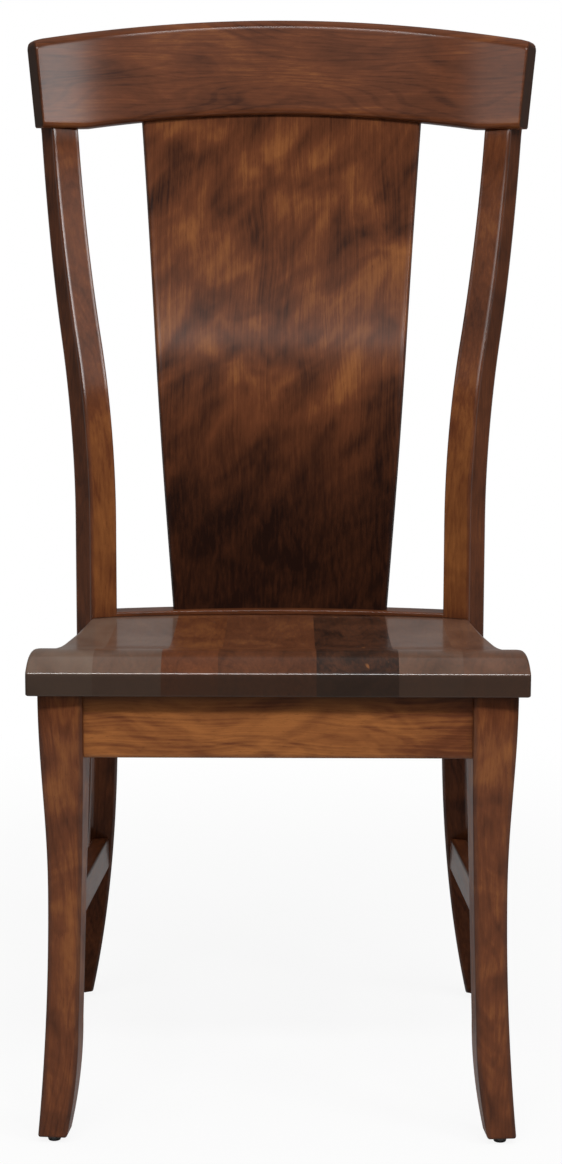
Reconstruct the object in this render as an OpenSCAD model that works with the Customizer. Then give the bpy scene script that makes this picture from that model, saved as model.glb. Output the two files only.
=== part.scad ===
// Side chair with a bent splat back, a scooped board seat and sabre legs.
// Millimetres, +Z up, the front of the chair faces -Y, the floor is Z = 0 and
// the origin lies under the middle of the chair's own box.

/* [Seat] */
// Height of the seat's front ridge above the floor
seat_h = 460; // [430:5:490]
// Width of the seat across its front edge
seat_front_w = 452; // [420:1:480]
// Depth of the seat from front edge to rear rail, on the centre line
seat_depth = 402; // [380:2:430]
// Height of the seat's square front edge
seat_edge_h = 19.7; // [14:0.1:26]
// Thickness of the seat at its front ridge
ridge_t = 37.5; // [33:0.5:44]
// Distance of the ridge behind the front edge
ridge_y = 40; // [30:1:55]
// Thickness of the seat in the bottom of the scoop
scoop_t = 19.5; // [16:0.5:24]
// Thickness of the seat at its rear edge
rear_t = 23.5; // [20:0.5:30]
// Backward fall of the seat in degrees
seat_slope = 2.5; // [0:0.5:5]
// Distance from the front edge to the foot of the scoop's slope
scoop_y = 210; // [190:5:240]

/* [Seat boards] */
// Width of the outer boards, cut on the taper, at the front edge
board_outer_w = 59.5; // [54:0.5:66]
// Width of the board beside the left outer one
board_b_w = 61.5; // [56:0.5:68]
// Width of the third board from the left
board_c_w = 51; // [45:0.5:57]
// Width of the board across the middle
board_d_w = 88.5; // [80:0.5:96]
// Width of the fifth board from the left
board_e_w = 74; // [68:0.5:80]

/* [Back] */
// Clear distance between the back posts at seat height
post_gap = 336.5; // [320:0.5:350]
// Turn of each back post about the vertical, in degrees
post_turn = 27; // [22:0.5:30]
// Width of a back post across its front face
post_w = 29; // [26:0.5:33]
// Depth of a back post at the seat
post_seat_d = 43; // [40:0.5:48]
// Depth of a back post in the bend
post_bend_d = 43; // [40:0.5:50]
// Depth of a back post under the crest rail
post_top_d = 33.5; // [30:0.5:38]
// Depth of a back post at the foot
post_foot_d = 30; // [26:0.5:34]
// Radius of the backward bend above the seat
bend_r = 515; // [480:5:580]
// Radius of the counter bend below the crest rail
counter_r = 1030; // [900:10:1300]
// Height above the seat ridge where the backward bend starts
bend_up = 67; // [50:1:85]
// Height above the seat ridge where the counter bend takes over
counter_up = 253; // [235:1:280]
// Radius of the rear leg's backward sweep
sweep_r = 725; // [650:5:800]
// Height where the rear leg's straight part ends and its sweep starts
sweep_z = 324; // [300:2:340]
// Plan radius of the back's front surface at seat height
back_r = 475; // [440:5:560]

/* [Crest rail] */
// Height of the crest rail's sharp top edge above the floor
overall_h = 1043; // [1010:1:1070]
// Height of the crest rail at its middle
crest_h = 102; // [92:0.5:115]
// Thickness of the crest rail
crest_t = 25; // [22:0.5:30]
// Backward lean of the crest rail in degrees
crest_lean = 14; // [10:0.5:18]
// Tilt of the crest rail's top and bottom edges in degrees
crest_cut = 3; // [1:0.5:8]
// Half angle of the crest rail in plan, in degrees
crest_half = 25.8; // [25:0.1:26.6]
// Fall of the top edge from the middle to the ends
crest_top_sag = 24; // [20:0.5:30]
// Radius of the arch along the bottom edge
crest_low_r = 1400; // [1200:20:1800]
// Fall of the bottom edge from the arch's top to its level ends
crest_low_drop = 12.5; // [10:0.5:16]
// Step from the crest rail's face back to the post's face
crest_proud = 5; // [3:0.5:8]

/* [Splat] */
// Width of the splat where it leaves the rear rail
splat_low_w = 219; // [205:1:235]
// Width of the splat under the crest rail
splat_top_w = 288.5; // [265:0.5:305]
// Thickness of the splat
splat_t = 12; // [9:0.5:14]
// Depth of the splat's grooves in crest rail and rear rail
groove = 8; // [6:0.5:11]

/* [Rails] */
// Thickness of the curved rear rail
rail_t = 28; // [26:0.5:34]
// Height of the curved rear rail
rail_h = 65; // [58:1:76]
// Plan radius of the rear rail's front face
rail_r = 700; // [620:10:900]
// Rise of the rear rail above the seat's rear edge
rail_rise = 4.5; // [2:0.5:6]
// Height of the front apron
apron_h = 60; // [54:1:72]
// Thickness of the aprons
apron_t = 19; // [16:0.5:22]
// Step from the front leg's inside arris back to the front apron's face
apron_step = 6.5; // [5:0.5:9]
// Height of the side aprons
side_h = 52; // [44:1:60]
// Height of a side stretcher's section
stretcher_h = 32; // [28:1:40]
// Thickness of a side stretcher
stretcher_t = 17; // [14:0.5:20]
// Height of the stretcher's upper edge at the front leg
stretcher_z = 224; // [210:1:240]
// Backward slope of a side stretcher in degrees
stretcher_slope = 5; // [3:0.5:6]

/* [Front legs] */
// Width of a front leg at its top
leg_w = 41.3; // [39:0.1:44]
// Overhang of the seat beyond the leg at the side
leg_side_in = 8.5; // [7:0.5:12]
// Overhang of the seat in front of the leg
leg_front_in = 14; // [10:0.5:18]
// Depth of the hollow on the two outside faces
hollow_in = 6.5; // [4:0.5:9]
// Radius of the hollow below its deepest point
hollow_r = 2700; // [2500:50:3000]
// Height of the hollow's deepest point
hollow_z = 240; // [226:2:250]
// Narrowing of the leg by the straight taper of its inside faces
leg_taper = 7; // [5:0.2:9]
// Height where the foot's flare starts
flare_z = 112; // [90:2:140]
// Radius of the foot's flare on the two inside faces
flare_r = 520; // [420:10:700]
// Turn of each front leg about the vertical, in degrees
leg_turn = 5.4; // [4:0.2:7]

/* [Glides] */
// Diameter of a glide against the wood
glide_top_d = 15; // [13:0.5:17]
// Diameter of a glide on the floor
glide_low_d = 11.5; // [9:0.5:12.5]
// Height of a glide
glide_h = 3.5; // [2.5:0.5:5]
// Diameter of a glide's nail
nail_d = 2; // [1.5:0.1:2.5]
// Depth of a glide's nail in the leg
nail_len = 16; // [12:1:20]

/* [Fixings] */
// Diameter of the dowels between posts and crest rail
dowel_d = 8; // [6:0.5:9]
// Depth of a dowel in each of its two pieces
dowel_in = 24; // [18:1:30]
// Height of a corner block
block_h = 32; // [26:1:38]
// Length of a corner block along the aprons
block_w = 50; // [44:1:56]
// Shank diameter of a seat screw
screw_d = 4; // [3:0.5:5]
// Depth of a seat screw in the seat
screw_in = 13; // [10:0.5:15]
// Thickness of a tenon
tenon_t = 10; // [8:0.5:12]
// Length of a tenon
tenon_len = 16; // [12:0.5:18]

/* [Finish] */
// Wood colour of the crest rail, splat and posts
back_color = "#5a2f1c";
// Wood colour of the seat boards
seat_color = "#55301f";
// Wood colour of the legs, rails and stretchers
frame_color = "#643620";
// Colour of the glides
glide_color = "#1c1a19";
// Colour of screws and nails
metal_color = "#9a9a98";

/* [Hidden] */
arc_fn = 180;
hole_fn = 32;
// Size of a cutting shape, and its reach past the piece that it cuts.
far = 900;
over = 60;
// Shoulder above and below a tenon, and the part of a tenon inside its own rail.
shoulder = 10;
stretcher_shoulder = 6;
root = 12;
// Length of the rear rail's tenons in the turned posts.
rail_tenon_len = 9;
// Depth to which aprons and blocks lap the sides of a post.
lap = 6;
// Offsets of the side rails from the middles of leg and post, outwards or inwards.
apron_leg_out = 4;
apron_post_out = 2;
stretcher_leg_in = 0.5;
stretcher_post_out = 7;
post_in = 4;
// Steepness of the seat's fall behind the ridge, and its level stretch behind the fall.
fall_power = 1.25;
level_y = 40;
// Heights between which a post grows to its full depth, above the seat's ridge.
deep_low = 20;
deep_high = 145;
// Height of a front leg's square head below the seat.
leg_head = 60;
// Step from the back's curve to the splat's face.
splat_in = 2;
// Seat screws, from the inner corners of front leg and apron, and of the post.
front_screw_aside = 17;
rear_screw_aside = 10;
screw_inward = 15;

counter_s = (counter_up - bend_up) / bend_r;
counter_t0 = arc_drop(bend_r, counter_up - bend_up);
slope_k = tan(seat_slope);
seat_z0 = seat_h - ridge_t + ridge_y * slope_k;
rail_cy = seat_depth - rail_r;
post_x = post_gap / 2;
post_y = rail_cy + sqrt(rail_r * rail_r - post_x * post_x);
turn_s = sin(post_turn);
turn_c = cos(post_turn);
arris_x = post_x + post_w * turn_c;
arris_y = post_y - post_w * turn_s;
mid_x = post_x + post_w * turn_c / 2;
mid_y = post_y - post_w * turn_s / 2;
side_k = (seat_front_w / 2 - arris_x) / arris_y;
axis_y = mid_y - sqrt(back_r * back_r - mid_x * mid_x);
rail_top = seat_z0 - seat_depth * slope_k + rear_t + rail_rise;

crest_z = overall_h - crest_h;
crest_k = tan(crest_lean);
crest_th = crest_t / cos(crest_lean);
crest_r = back_r + post_t(crest_z) - crest_proud;
crest_u = crest_h * (crest_k * sin(crest_cut) + cos(crest_cut));
crest_x = crest_r * sin(crest_half);
top_arc_r = (crest_x * crest_x + crest_top_sag * crest_top_sag) / (2 * crest_top_sag);
overall_d = axis_y + crest_r + crest_h * crest_k
    + crest_th * cos(crest_cut) / (cos(crest_cut) + crest_k * sin(crest_cut));

leg_x = seat_front_w / 2 - leg_side_in;
leg_y = leg_front_in;
leg_top = seat_z0;
crest_join = post_t(crest_z) + post_top_d / 2;
dowel_a = atan((mid_x + crest_join * turn_s) / (mid_y + crest_join * turn_c - axis_y));

apron_y = leg_y - leg_w * sin(leg_turn) + apron_step;
apron_in = leg_x - leg_w * cos(leg_turn);
side_x0 = leg_x - leg_w / 2 + apron_leg_out;
side_x1 = mid_x + apron_post_out;
side_y0 = leg_y + leg_w / 2;
side_y1 = mid_y + post_in;
side_a = atan((side_x0 - side_x1) / (side_y1 - side_y0));
str_x0 = leg_x - leg_w / 2 - stretcher_leg_in;
str_x1 = mid_x + stretcher_post_out;
front_screw = [apron_in - front_screw_aside, apron_y + apron_t + screw_inward];
rear_screw = [post_x - rear_screw_aside, post_y - screw_inward];
front_block_z = seat_z0 - front_screw[1] * slope_k - block_h;
rear_block_z = seat_z0 - rear_screw[1] * slope_k - block_h;
foot_t = post_t(glide_h) + post_d(glide_h) / 2;

board_w = [board_outer_w, board_b_w, board_c_w, board_d_w, board_e_w];
board_x = concat([for (i = [0:5]) run_of(board_w, i) - seat_front_w / 2],
    [seat_front_w / 2 - board_outer_w, seat_front_w / 2]);

// Fall of an arc of radius r over a distance d from its level point.
function arc_drop(r, d) = r - sqrt(r * r - d * d);

// Backward travel of the post's front face at height z, along the post's own depth.
function post_t(z) =
    z < sweep_z ? arc_drop(sweep_r, sweep_z - z) :
    z < seat_h + bend_up ? 0 :
    z < seat_h + counter_up ? arc_drop(bend_r, z - seat_h - bend_up) :
    counter_t(z - seat_h - counter_up);
function counter_t(d) = counter_t0
    + sqrt(counter_r * counter_r - pow(counter_r * counter_s - d, 2))
    - sqrt(counter_r * counter_r - pow(counter_r * counter_s, 2));

// Smooth step from a to b while z runs from z0 to z1.
function ease(z, z0, z1, a, b) =
    z <= z0 ? a : z >= z1 ? b : a + (b - a) * (1 - cos(180 * (z - z0) / (z1 - z0))) / 2;

// Depth of a back post at height z.
function post_d(z) =
    z < sweep_z ? ease(z, 0, sweep_z, post_foot_d, post_seat_d) :
    z < seat_h + deep_high ?
        ease(z, seat_h + deep_low, seat_h + deep_high, post_seat_d, post_bend_d) :
    ease(z, seat_h + deep_high, crest_z, post_bend_d, post_top_d);

// Outside and inside faces of a front leg as insets from its top outside corner.
function leg_out(z) =
    z < hollow_z ? hollow_in - arc_drop(hollow_r, hollow_z - z) :
    ease(z, hollow_z, leg_top, hollow_in, 0);
function leg_in(z) =
    leg_w - leg_taper * min(1, max(0, (leg_top - leg_head - z) / (leg_top - leg_head - flare_z)))
    - (z < flare_z ? arc_drop(flare_r, flare_z - z) : 0);

// Thickness of the seat at distance y behind its front edge.
function seat_t(y) =
    y < ridge_y ? seat_edge_h + (ridge_t - seat_edge_h) * sqrt(1 - pow(1 - y / ridge_y, 2)) :
    y < scoop_y ? ridge_t - (ridge_t - scoop_t) * pow(sin(90 * fall_part(y)), fall_power) :
    ease(y, scoop_y + level_y, seat_depth, scoop_t, rear_t);
function fall_part(y) = (y - ridge_y) / (scoop_y - ridge_y);

// Sum of the first n of a list of widths.
function run_of(widths, n) = n == 0 ? 0 : widths[n - 1] + run_of(widths, n - 1);

// Puts the modelling frame, whose y starts at the seat's front edge, on the origin.
module place() {
    translate([0, -overall_d / 2, 0])
        children();
}

module left_of() {
    mirror([1, 0, 0])
        children();
}

// Everything above the sloping underside of the seat.
module above_seat_base() {
    translate([0, 0, seat_z0])
        rotate([-seat_slope, 0, 0])
            translate([-far / 2, -over, 0])
                cube(far);
}

// Back posts: each one sawn from a single plank from the floor to the crest rail.
module post_section() {
    n = 56;
    step = (crest_z + over - glide_h) / n;
    front = [for (i = [0:n]) [post_t(glide_h + i * step), glide_h + i * step]];
    rear = [for (i = [n:-1:0])
        [post_t(glide_h + i * step) + post_d(glide_h + i * step), glide_h + i * step]];
    polygon(concat(front, rear));
}

module post_body() {
    difference() {
        translate([post_x, post_y, 0])
            rotate([0, 0, 90 - post_turn])
                rotate([90, 0, 0])
                    linear_extrude(post_w)
                        post_section();
        above_crest_base(0);
    }
}

module back_post() {
    difference() {
        post_body();
        rear_rail_tenon();
        side_apron_tenons();
        stretcher_tenons();
        dowels();
        nail(rear_foot());
    }
}

// Crest rail: a leaning cone shell between two arched saw cuts.
module crest_frame() {
    translate([0, axis_y + crest_r, crest_z])
        rotate([-crest_cut, 0, 0])
            rotate([90, 0, 0])
                translate([0, 0, -far / 2])
                    linear_extrude(far)
                        children();
}

// Everything above the arched bottom edge with its level ends, raised by lift.
module above_low_edge(lift) {
    difference() {
        translate([-far / 2, lift - crest_low_drop])
            square(far);
        translate([0, lift - crest_low_r])
            circle(crest_low_r, $fn = arc_fn);
    }
}

module above_crest_base(lift) {
    crest_frame()
        above_low_edge(lift);
}

module crest_outline() {
    crest_frame()
        intersection() {
            above_low_edge(0);
            translate([0, crest_u - top_arc_r])
                circle(top_arc_r, $fn = arc_fn);
        }
}

module crest_cone(r) {
    translate([0, axis_y, crest_z - over])
        cylinder(h = crest_h + 2 * over, r1 = r - over * crest_k,
            r2 = r + (crest_h + over) * crest_k, $fn = arc_fn);
}

module crest_body() {
    intersection() {
        difference() {
            crest_cone(crest_r + crest_th);
            crest_cone(crest_r);
        }
        crest_outline();
        translate([0, axis_y, crest_z - over])
            linear_extrude(crest_h + 2 * over)
                polygon([[0, 0], [far * sin(crest_half), far * cos(crest_half)],
                    [-far * sin(crest_half), far * cos(crest_half)]]);
    }
}

module crest_rail() {
    color(back_color)
        place()
            difference() {
                crest_body();
                splat_body();
                dowels();
                left_of()
                    dowels();
            }
}

// Splat: a bent board whose face follows the posts' curve round the back's axis.
module splat_body() {
    n = 30;
    z0 = rail_top - groove;
    step = (crest_z + over - z0) / n;
    r0 = back_r + splat_in;
    front = [for (i = [0:n]) [r0 + post_t(z0 + i * step), z0 + i * step]];
    rear = [for (i = [n:-1:0]) [r0 + splat_t + post_t(z0 + i * step), z0 + i * step]];
    taper = (splat_top_w - splat_low_w) / 2 / (crest_z - rail_top);
    difference() {
        intersection() {
            translate([0, axis_y, 0])
                rotate_extrude($fn = arc_fn)
                    polygon(concat(front, rear));
            translate([0, far, 0])
                rotate([90, 0, 0])
                    linear_extrude(far)
                        polygon([[-splat_low_w / 2 + groove * taper, z0],
                            [splat_low_w / 2 - groove * taper, z0],
                            [splat_top_w / 2 + over * taper, crest_z + over],
                            [-splat_top_w / 2 - over * taper, crest_z + over]]);
        }
        above_crest_base(groove);
    }
}

module back_splat() {
    color(back_color)
        place()
            splat_body();
}

module left_back_post() {
    color(back_color)
        place()
            left_of()
                back_post();
}

module right_back_post() {
    color(back_color)
        place()
            back_post();
}

// Dowels from the post's top into the crest rail.
module dowels() {
    z = crest_z - crest_low_drop + crest_r * (1 - cos(dowel_a)) * tan(crest_cut);
    r = crest_r + (z - crest_z) * crest_k + crest_th / 2;
    for (s = [-1, 1])
        translate([0, axis_y, 0])
            rotate([0, 0, -dowel_a])
                translate([s * post_w / 4, r, z])
                    rotate([-crest_lean, 0, 0])
                        cylinder(h = 2 * dowel_in, d = dowel_d, center = true, $fn = hole_fn);
}

module crest_dowels() {
    color(frame_color)
        place() {
            dowels();
            left_of()
                dowels();
        }
}

// Rear rail: curved, tenoned between the posts, and grooved for the splat.
module rear_rail_tenon() {
    y = rail_cy + sqrt(pow(rail_r + rail_t / 2, 2) - pow(post_x + rail_tenon_len, 2));
    reach = (y - post_y) * turn_s / turn_c + rail_tenon_len;
    translate([post_x - root, y - tenon_t / 2, rail_top - rail_h + shoulder])
        cube([root + reach, tenon_t, rail_h - 2 * shoulder]);
}

// Everything from the plan curve of the rear rail's front face back by t.
module behind_rail_face(t, z, h) {
    translate([0, rail_cy, z])
        linear_extrude(h)
            difference() {
                circle(rail_r + t, $fn = arc_fn);
                circle(rail_r, $fn = arc_fn);
            }
}

module rear_rail() {
    reach = 2 * post_seat_d;
    color(frame_color)
        place()
            difference() {
                union() {
                    intersection() {
                        behind_rail_face(rail_t, rail_top - rail_h, rail_h);
                        translate([0, 0, rail_top - rail_h - over])
                            linear_extrude(rail_h + 2 * over)
                                polygon([[post_x, post_y],
                                    [post_x + reach * turn_s, post_y + reach * turn_c],
                                    [-post_x - reach * turn_s, post_y + reach * turn_c],
                                    [-post_x, post_y], [0, post_y - over]]);
                    }
                    rear_rail_tenon();
                    left_of()
                        rear_rail_tenon();
                }
                splat_body();
                side_apron_tenons();
                left_of()
                    side_apron_tenons();
            }
}

// Front legs: hollowed outside, flared at the foot, turned to the seat's taper.
module leg_section() {
    n = 40;
    step = (leg_top - glide_h) / n;
    outer = [for (i = [0:n]) [-leg_out(glide_h + i * step), glide_h + i * step]];
    inner = [for (i = [n:-1:0]) [-leg_in(glide_h + i * step), glide_h + i * step]];
    polygon(concat(outer, inner));
}

module leg_blank() {
    translate([leg_x, leg_y, 0])
        rotate([0, 0, leg_turn])
            intersection() {
                translate([0, leg_w + over, 0])
                    rotate([90, 0, 0])
                        linear_extrude(leg_w + 2 * over)
                            leg_section();
                translate([over, 0, 0])
                    rotate([90, 0, -90])
                        linear_extrude(leg_w + 2 * over)
                            leg_section();
            }
}

module leg_body() {
    difference() {
        leg_blank();
        above_seat_base();
    }
}

module front_leg() {
    difference() {
        leg_body();
        front_apron_tenon();
        side_apron_tenons();
        stretcher_tenons();
        nail(front_foot());
    }
}

module left_front_leg() {
    color(frame_color)
        place()
            left_of()
                front_leg();
}

module right_front_leg() {
    color(frame_color)
        place()
            front_leg();
}

// Front apron between the front legs.
module front_apron_tenon() {
    translate([apron_in - root, apron_y + (apron_t - tenon_t) / 2, leg_top - apron_h + shoulder])
        cube([root + tenon_len, tenon_t, apron_h - 2 * shoulder]);
}

// Everything outside the plane of a front leg's inner face.
module outside_leg() {
    translate([leg_x, leg_y, 0])
        rotate([0, 0, leg_turn])
            translate([-leg_w, -over, 0])
                cube(far);
}

module front_apron() {
    color(frame_color)
        place() {
            difference() {
                translate([-apron_in - root, apron_y, leg_top - apron_h])
                    cube([2 * apron_in + 2 * root, apron_t, apron_h]);
                outside_leg();
                left_of()
                    outside_leg();
                above_seat_base();
            }
            front_apron_tenon();
            left_of()
                front_apron_tenon();
        }
}

// Side rails: a bar from the front leg's middle to the back post's middle.
module side_bar(x0, y0, x1, y1, z, fall, t, h, a, b) {
    turn = atan((x0 - x1) / (y1 - y0));
    len = sqrt(pow(x1 - x0, 2) + pow(y1 - y0, 2));
    translate([x0, y0, z])
        rotate([0, 0, turn])
            rotate([-fall, 0, 0])
                translate([-t / 2, a, -h])
                    cube([t, len - a - b, h]);
}

module side_apron_tenons() {
    side_bar(side_x0, side_y0, side_x1, side_y1, leg_top - shoulder, seat_slope,
        tenon_t, side_h - 2 * shoulder, leg_w / 2 - tenon_len, -tenon_len / 2);
}

module side_apron() {
    difference() {
        side_bar(side_x0, side_y0, side_x1, side_y1, leg_top + root, seat_slope,
            apron_t, side_h + root, 0, -post_seat_d);
        leg_blank();
        post_body();
        behind_post_face(lap);
        above_seat_base();
    }
    side_apron_tenons();
}

// Everything further back than t behind the plane of a post's front face.
module behind_post_face(t) {
    translate([post_x, post_y, 0])
        rotate([0, 0, -post_turn])
            translate([-over, t, 0])
                cube([2 * over + post_w, 2 * over, far]);
}

module left_apron() {
    color(frame_color)
        place()
            left_of()
                side_apron();
}

module right_apron() {
    color(frame_color)
        place()
            side_apron();
}

// Side stretchers, falling to the rear.
module stretcher_tenons() {
    side_bar(str_x0, side_y0, str_x1, side_y1, stretcher_z - stretcher_shoulder, stretcher_slope,
        tenon_t, stretcher_h - 2 * stretcher_shoulder, 0, -tenon_len);
}

module stretcher() {
    difference() {
        side_bar(str_x0, side_y0, str_x1, side_y1, stretcher_z, stretcher_slope,
            stretcher_t, stretcher_h, 0, -root);
        leg_blank();
        post_body();
        behind_post_face(post_seat_d / 2);
    }
    stretcher_tenons();
}

module left_stretcher() {
    color(frame_color)
        place()
            left_of()
                stretcher();
}

module right_stretcher() {
    color(frame_color)
        place()
            stretcher();
}

// Seat: seven boards glued edge to edge, then shaped as one.
module seat_section() {
    back = seat_depth + shoulder;
    rise_y = scoop_y + level_y;
    ys = concat([for (i = [0:9]) ridge_y * (1 - cos(10 * i))],
        [for (i = [0:12]) ridge_y + (scoop_y - ridge_y) * i / 12],
        [for (i = [1:6]) rise_y + (back - rise_y) * i / 6]);
    top = [for (i = [len(ys) - 1:-1:0])
        [ys[i], seat_z0 - ys[i] * slope_k + seat_t(min(ys[i], seat_depth))]];
    polygon(concat([[0, seat_z0], [back, seat_z0 - back * slope_k]], top));
}

module seat_plan() {
    intersection() {
        polygon([[-seat_front_w / 2, 0], [seat_front_w / 2, 0], [arris_x, arris_y],
            [post_x, post_y], [post_x - post_w, seat_depth + shoulder],
            [post_w - post_x, seat_depth + shoulder],
            [-post_x, post_y], [-arris_x, arris_y]]);
        translate([0, rail_cy])
            circle(rail_r, $fn = arc_fn);
    }
}

module seat_board(i) {
    color(seat_color)
        place()
            difference() {
                intersection() {
                    translate([board_x[i], 0, 0])
                        rotate([90, 0, 90])
                            linear_extrude(board_x[i + 1] - board_x[i])
                                seat_section();
                    translate([0, 0, seat_z0 - over])
                        linear_extrude(2 * over)
                            seat_plan();
                }
                screws();
            }
}

module seat_board_1() {
    seat_board(0);
}

module seat_board_2() {
    seat_board(1);
}

module seat_board_3() {
    seat_board(2);
}

module seat_board_4() {
    seat_board(3);
}

module seat_board_5() {
    seat_board(4);
}

module seat_board_6() {
    seat_board(5);
}

module seat_board_7() {
    seat_board(6);
}

// Corner blocks glued into the corners of the frame, each with one seat screw.
module beyond_side() {
    translate([side_x0, side_y0, 0])
        rotate([0, 0, side_a])
            translate([-apron_t / 2, -over, 0])
                cube(far);
}

module front_corner_block() {
    difference() {
        translate([0, 0, front_block_z])
            linear_extrude(block_h + over)
                polygon([[apron_in - block_w, apron_y + apron_t], [leg_x, apron_y + apron_t],
                    [leg_x, apron_y + apron_t + block_w + leg_x - apron_in]]);
        leg_blank();
        beyond_side();
        above_seat_base();
        screws();
    }
}

module rear_corner_block() {
    difference() {
        translate([0, 0, rear_block_z])
            linear_extrude(block_h + over)
                polygon([[post_x - block_w - over, post_y + over], [post_x + over, post_y + over],
                    [post_x + over, post_y - block_w - over]]);
        behind_rail_face(2 * over, 0, far);
        post_body();
        behind_post_face(lap);
        beyond_side();
        above_seat_base();
        screws();
    }
}

module left_front_block() {
    color(frame_color)
        place()
            left_of()
                front_corner_block();
}

module right_front_block() {
    color(frame_color)
        place()
            front_corner_block();
}

module left_rear_block() {
    color(frame_color)
        place()
            left_of()
                rear_corner_block();
}

module right_rear_block() {
    color(frame_color)
        place()
            rear_corner_block();
}

// Countersunk screws up through the corner blocks into the seat.
module screw(x, y, z) {
    top = seat_z0 - y * slope_k + screw_in;
    translate([x, y, z])
        cylinder(h = screw_d / 2, r1 = screw_d, r2 = screw_d / 2, $fn = hole_fn);
    translate([x, y, z])
        cylinder(h = top - z, d = screw_d, $fn = hole_fn);
}

module screws() {
    for (s = [-1, 1]) {
        screw(s * front_screw[0], front_screw[1], front_block_z);
        screw(s * rear_screw[0], rear_screw[1], rear_block_z);
    }
}

module seat_screws() {
    color(metal_color)
        place()
            screws();
}

// Nail-on glides under the four feet.
function front_foot() = [
    leg_x - (leg_out(glide_h) + leg_in(glide_h)) / 2 * (cos(leg_turn) + sin(leg_turn)),
    leg_y + (leg_out(glide_h) + leg_in(glide_h)) / 2 * (cos(leg_turn) - sin(leg_turn))];
function rear_foot() = [mid_x + foot_t * turn_s, mid_y + foot_t * turn_c];

module nail(p) {
    translate([p[0], p[1], glide_h / 2])
        cylinder(h = glide_h / 2 + nail_len, d = nail_d, $fn = hole_fn);
}

module glide(p) {
    color(glide_color)
        place()
            difference() {
                translate([p[0], p[1], 0])
                    cylinder(h = glide_h, d1 = glide_low_d, d2 = glide_top_d, $fn = hole_fn);
                nail(p);
            }
}

module left_front_glide() {
    glide([-front_foot()[0], front_foot()[1]]);
}

module right_front_glide() {
    glide(front_foot());
}

module left_rear_glide() {
    glide([-rear_foot()[0], rear_foot()[1]]);
}

module right_rear_glide() {
    glide(rear_foot());
}

module glide_nails() {
    color(metal_color)
        place()
            for (s = [-1, 1], p = [front_foot(), rear_foot()])
                nail([s * p[0], p[1]]);
}

crest_rail();
back_splat();
left_back_post();
right_back_post();
rear_rail();
front_apron();
left_apron();
right_apron();
left_front_leg();
right_front_leg();
left_stretcher();
right_stretcher();
seat_board_1();
seat_board_2();
seat_board_3();
seat_board_4();
seat_board_5();
seat_board_6();
seat_board_7();
left_front_block();
right_front_block();
left_rear_block();
right_rear_block();
left_front_glide();
right_front_glide();
left_rear_glide();
right_rear_glide();
glide_nails();
crest_dowels();
seat_screws();
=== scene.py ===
"""Side chair with a bent splat back: its finished wood, fittings and studio stage."""

from math import asin, cos, pi, radians, sin, sqrt, tan

import bmesh
import bpy
from bpy.props import FloatProperty, FloatVectorProperty, PointerProperty
from bpy.types import Operator, Panel, PropertyGroup
from mathutils import Matrix, Vector


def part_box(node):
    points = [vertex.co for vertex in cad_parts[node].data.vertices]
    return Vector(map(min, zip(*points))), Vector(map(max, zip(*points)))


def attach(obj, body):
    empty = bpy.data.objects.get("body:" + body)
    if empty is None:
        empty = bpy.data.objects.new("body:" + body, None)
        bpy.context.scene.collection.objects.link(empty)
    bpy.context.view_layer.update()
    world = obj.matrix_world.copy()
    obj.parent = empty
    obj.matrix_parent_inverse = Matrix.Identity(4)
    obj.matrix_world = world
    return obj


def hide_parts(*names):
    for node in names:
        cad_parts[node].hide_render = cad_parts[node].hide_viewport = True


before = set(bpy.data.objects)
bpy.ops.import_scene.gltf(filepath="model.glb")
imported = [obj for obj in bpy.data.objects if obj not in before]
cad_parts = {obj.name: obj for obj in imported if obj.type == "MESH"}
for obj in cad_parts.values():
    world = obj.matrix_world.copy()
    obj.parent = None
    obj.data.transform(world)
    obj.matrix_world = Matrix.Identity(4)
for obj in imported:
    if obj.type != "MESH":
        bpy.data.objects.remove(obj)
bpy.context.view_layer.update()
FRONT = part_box("seat_board_4")[0].y

bl_info = {
    "name": "Side Chair",
    "version": (1, 0, 0),
    "blender": (4, 5, 0),
    "location": "View3D > Sidebar > Chair",
    "description": "Builds the finished pieces of a wooden side chair and its studio stage",
    "category": "Add Mesh",
}


# Sizes and colours


def kind_of(prop, **settings):
    """A maker of one kind of property, given by its name, default and description."""
    def make(name, default, description):
        return prop(name=name, default=default, description=description, **settings)

    return make


length = kind_of(FloatProperty, min=0.0, precision=4, unit="LENGTH", subtype="DISTANCE")
turn = kind_of(FloatProperty, unit="ROTATION", subtype="ANGLE")
share = kind_of(FloatProperty, min=0.0, max=1.0, subtype="FACTOR")
pixels = kind_of(FloatProperty, min=100.0)
stain = kind_of(FloatVectorProperty, size=3, min=0.0, max=1.0, subtype="COLOR")


class ChairSeatSizes(PropertyGroup):
    """The scooped seat of seven boards."""

    height: length("Height", 0.46, "Front ridge above the floor")
    width: length("Width", 0.454, "Width across the front edge")
    depth: length("Depth", 0.402, "Depth on the centre line")
    edge: length("Front edge", 0.0197, "Height of the square front edge")
    ridge_t: length("Ridge thickness", 0.0375, "Thickness at the front ridge")
    ridge_y: length("Ridge place", 0.04, "Ridge behind the front edge")
    scoop_t: length("Scoop thickness", 0.0195, "Thickness in the scoop")
    rear_t: length("Rear thickness", 0.0235, "Thickness at the rear edge")
    scoop_y: length("Scoop place", 0.21, "Foot of the scoop's slope behind the front edge")
    level_y: length("Level stretch", 0.04, "Level stretch of the scoop before it rises")
    slope: turn("Slope", radians(2.5), "Backward fall of the seat")
    side_r: length("Side rounding", 0.0035, "Rounding of the top side edges")
    outer_w: length("Outer boards", 0.0605, "Width of the two outer boards in front")
    second_w: length("Second board", 0.0615, "Width of the second board from the left")
    third_w: length("Third board", 0.051, "Width of the third board from the left")
    middle_w: length("Middle board", 0.0885, "Width of the middle board")
    fifth_w: length("Fifth board", 0.074, "Width of the fifth board from the left")


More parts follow.
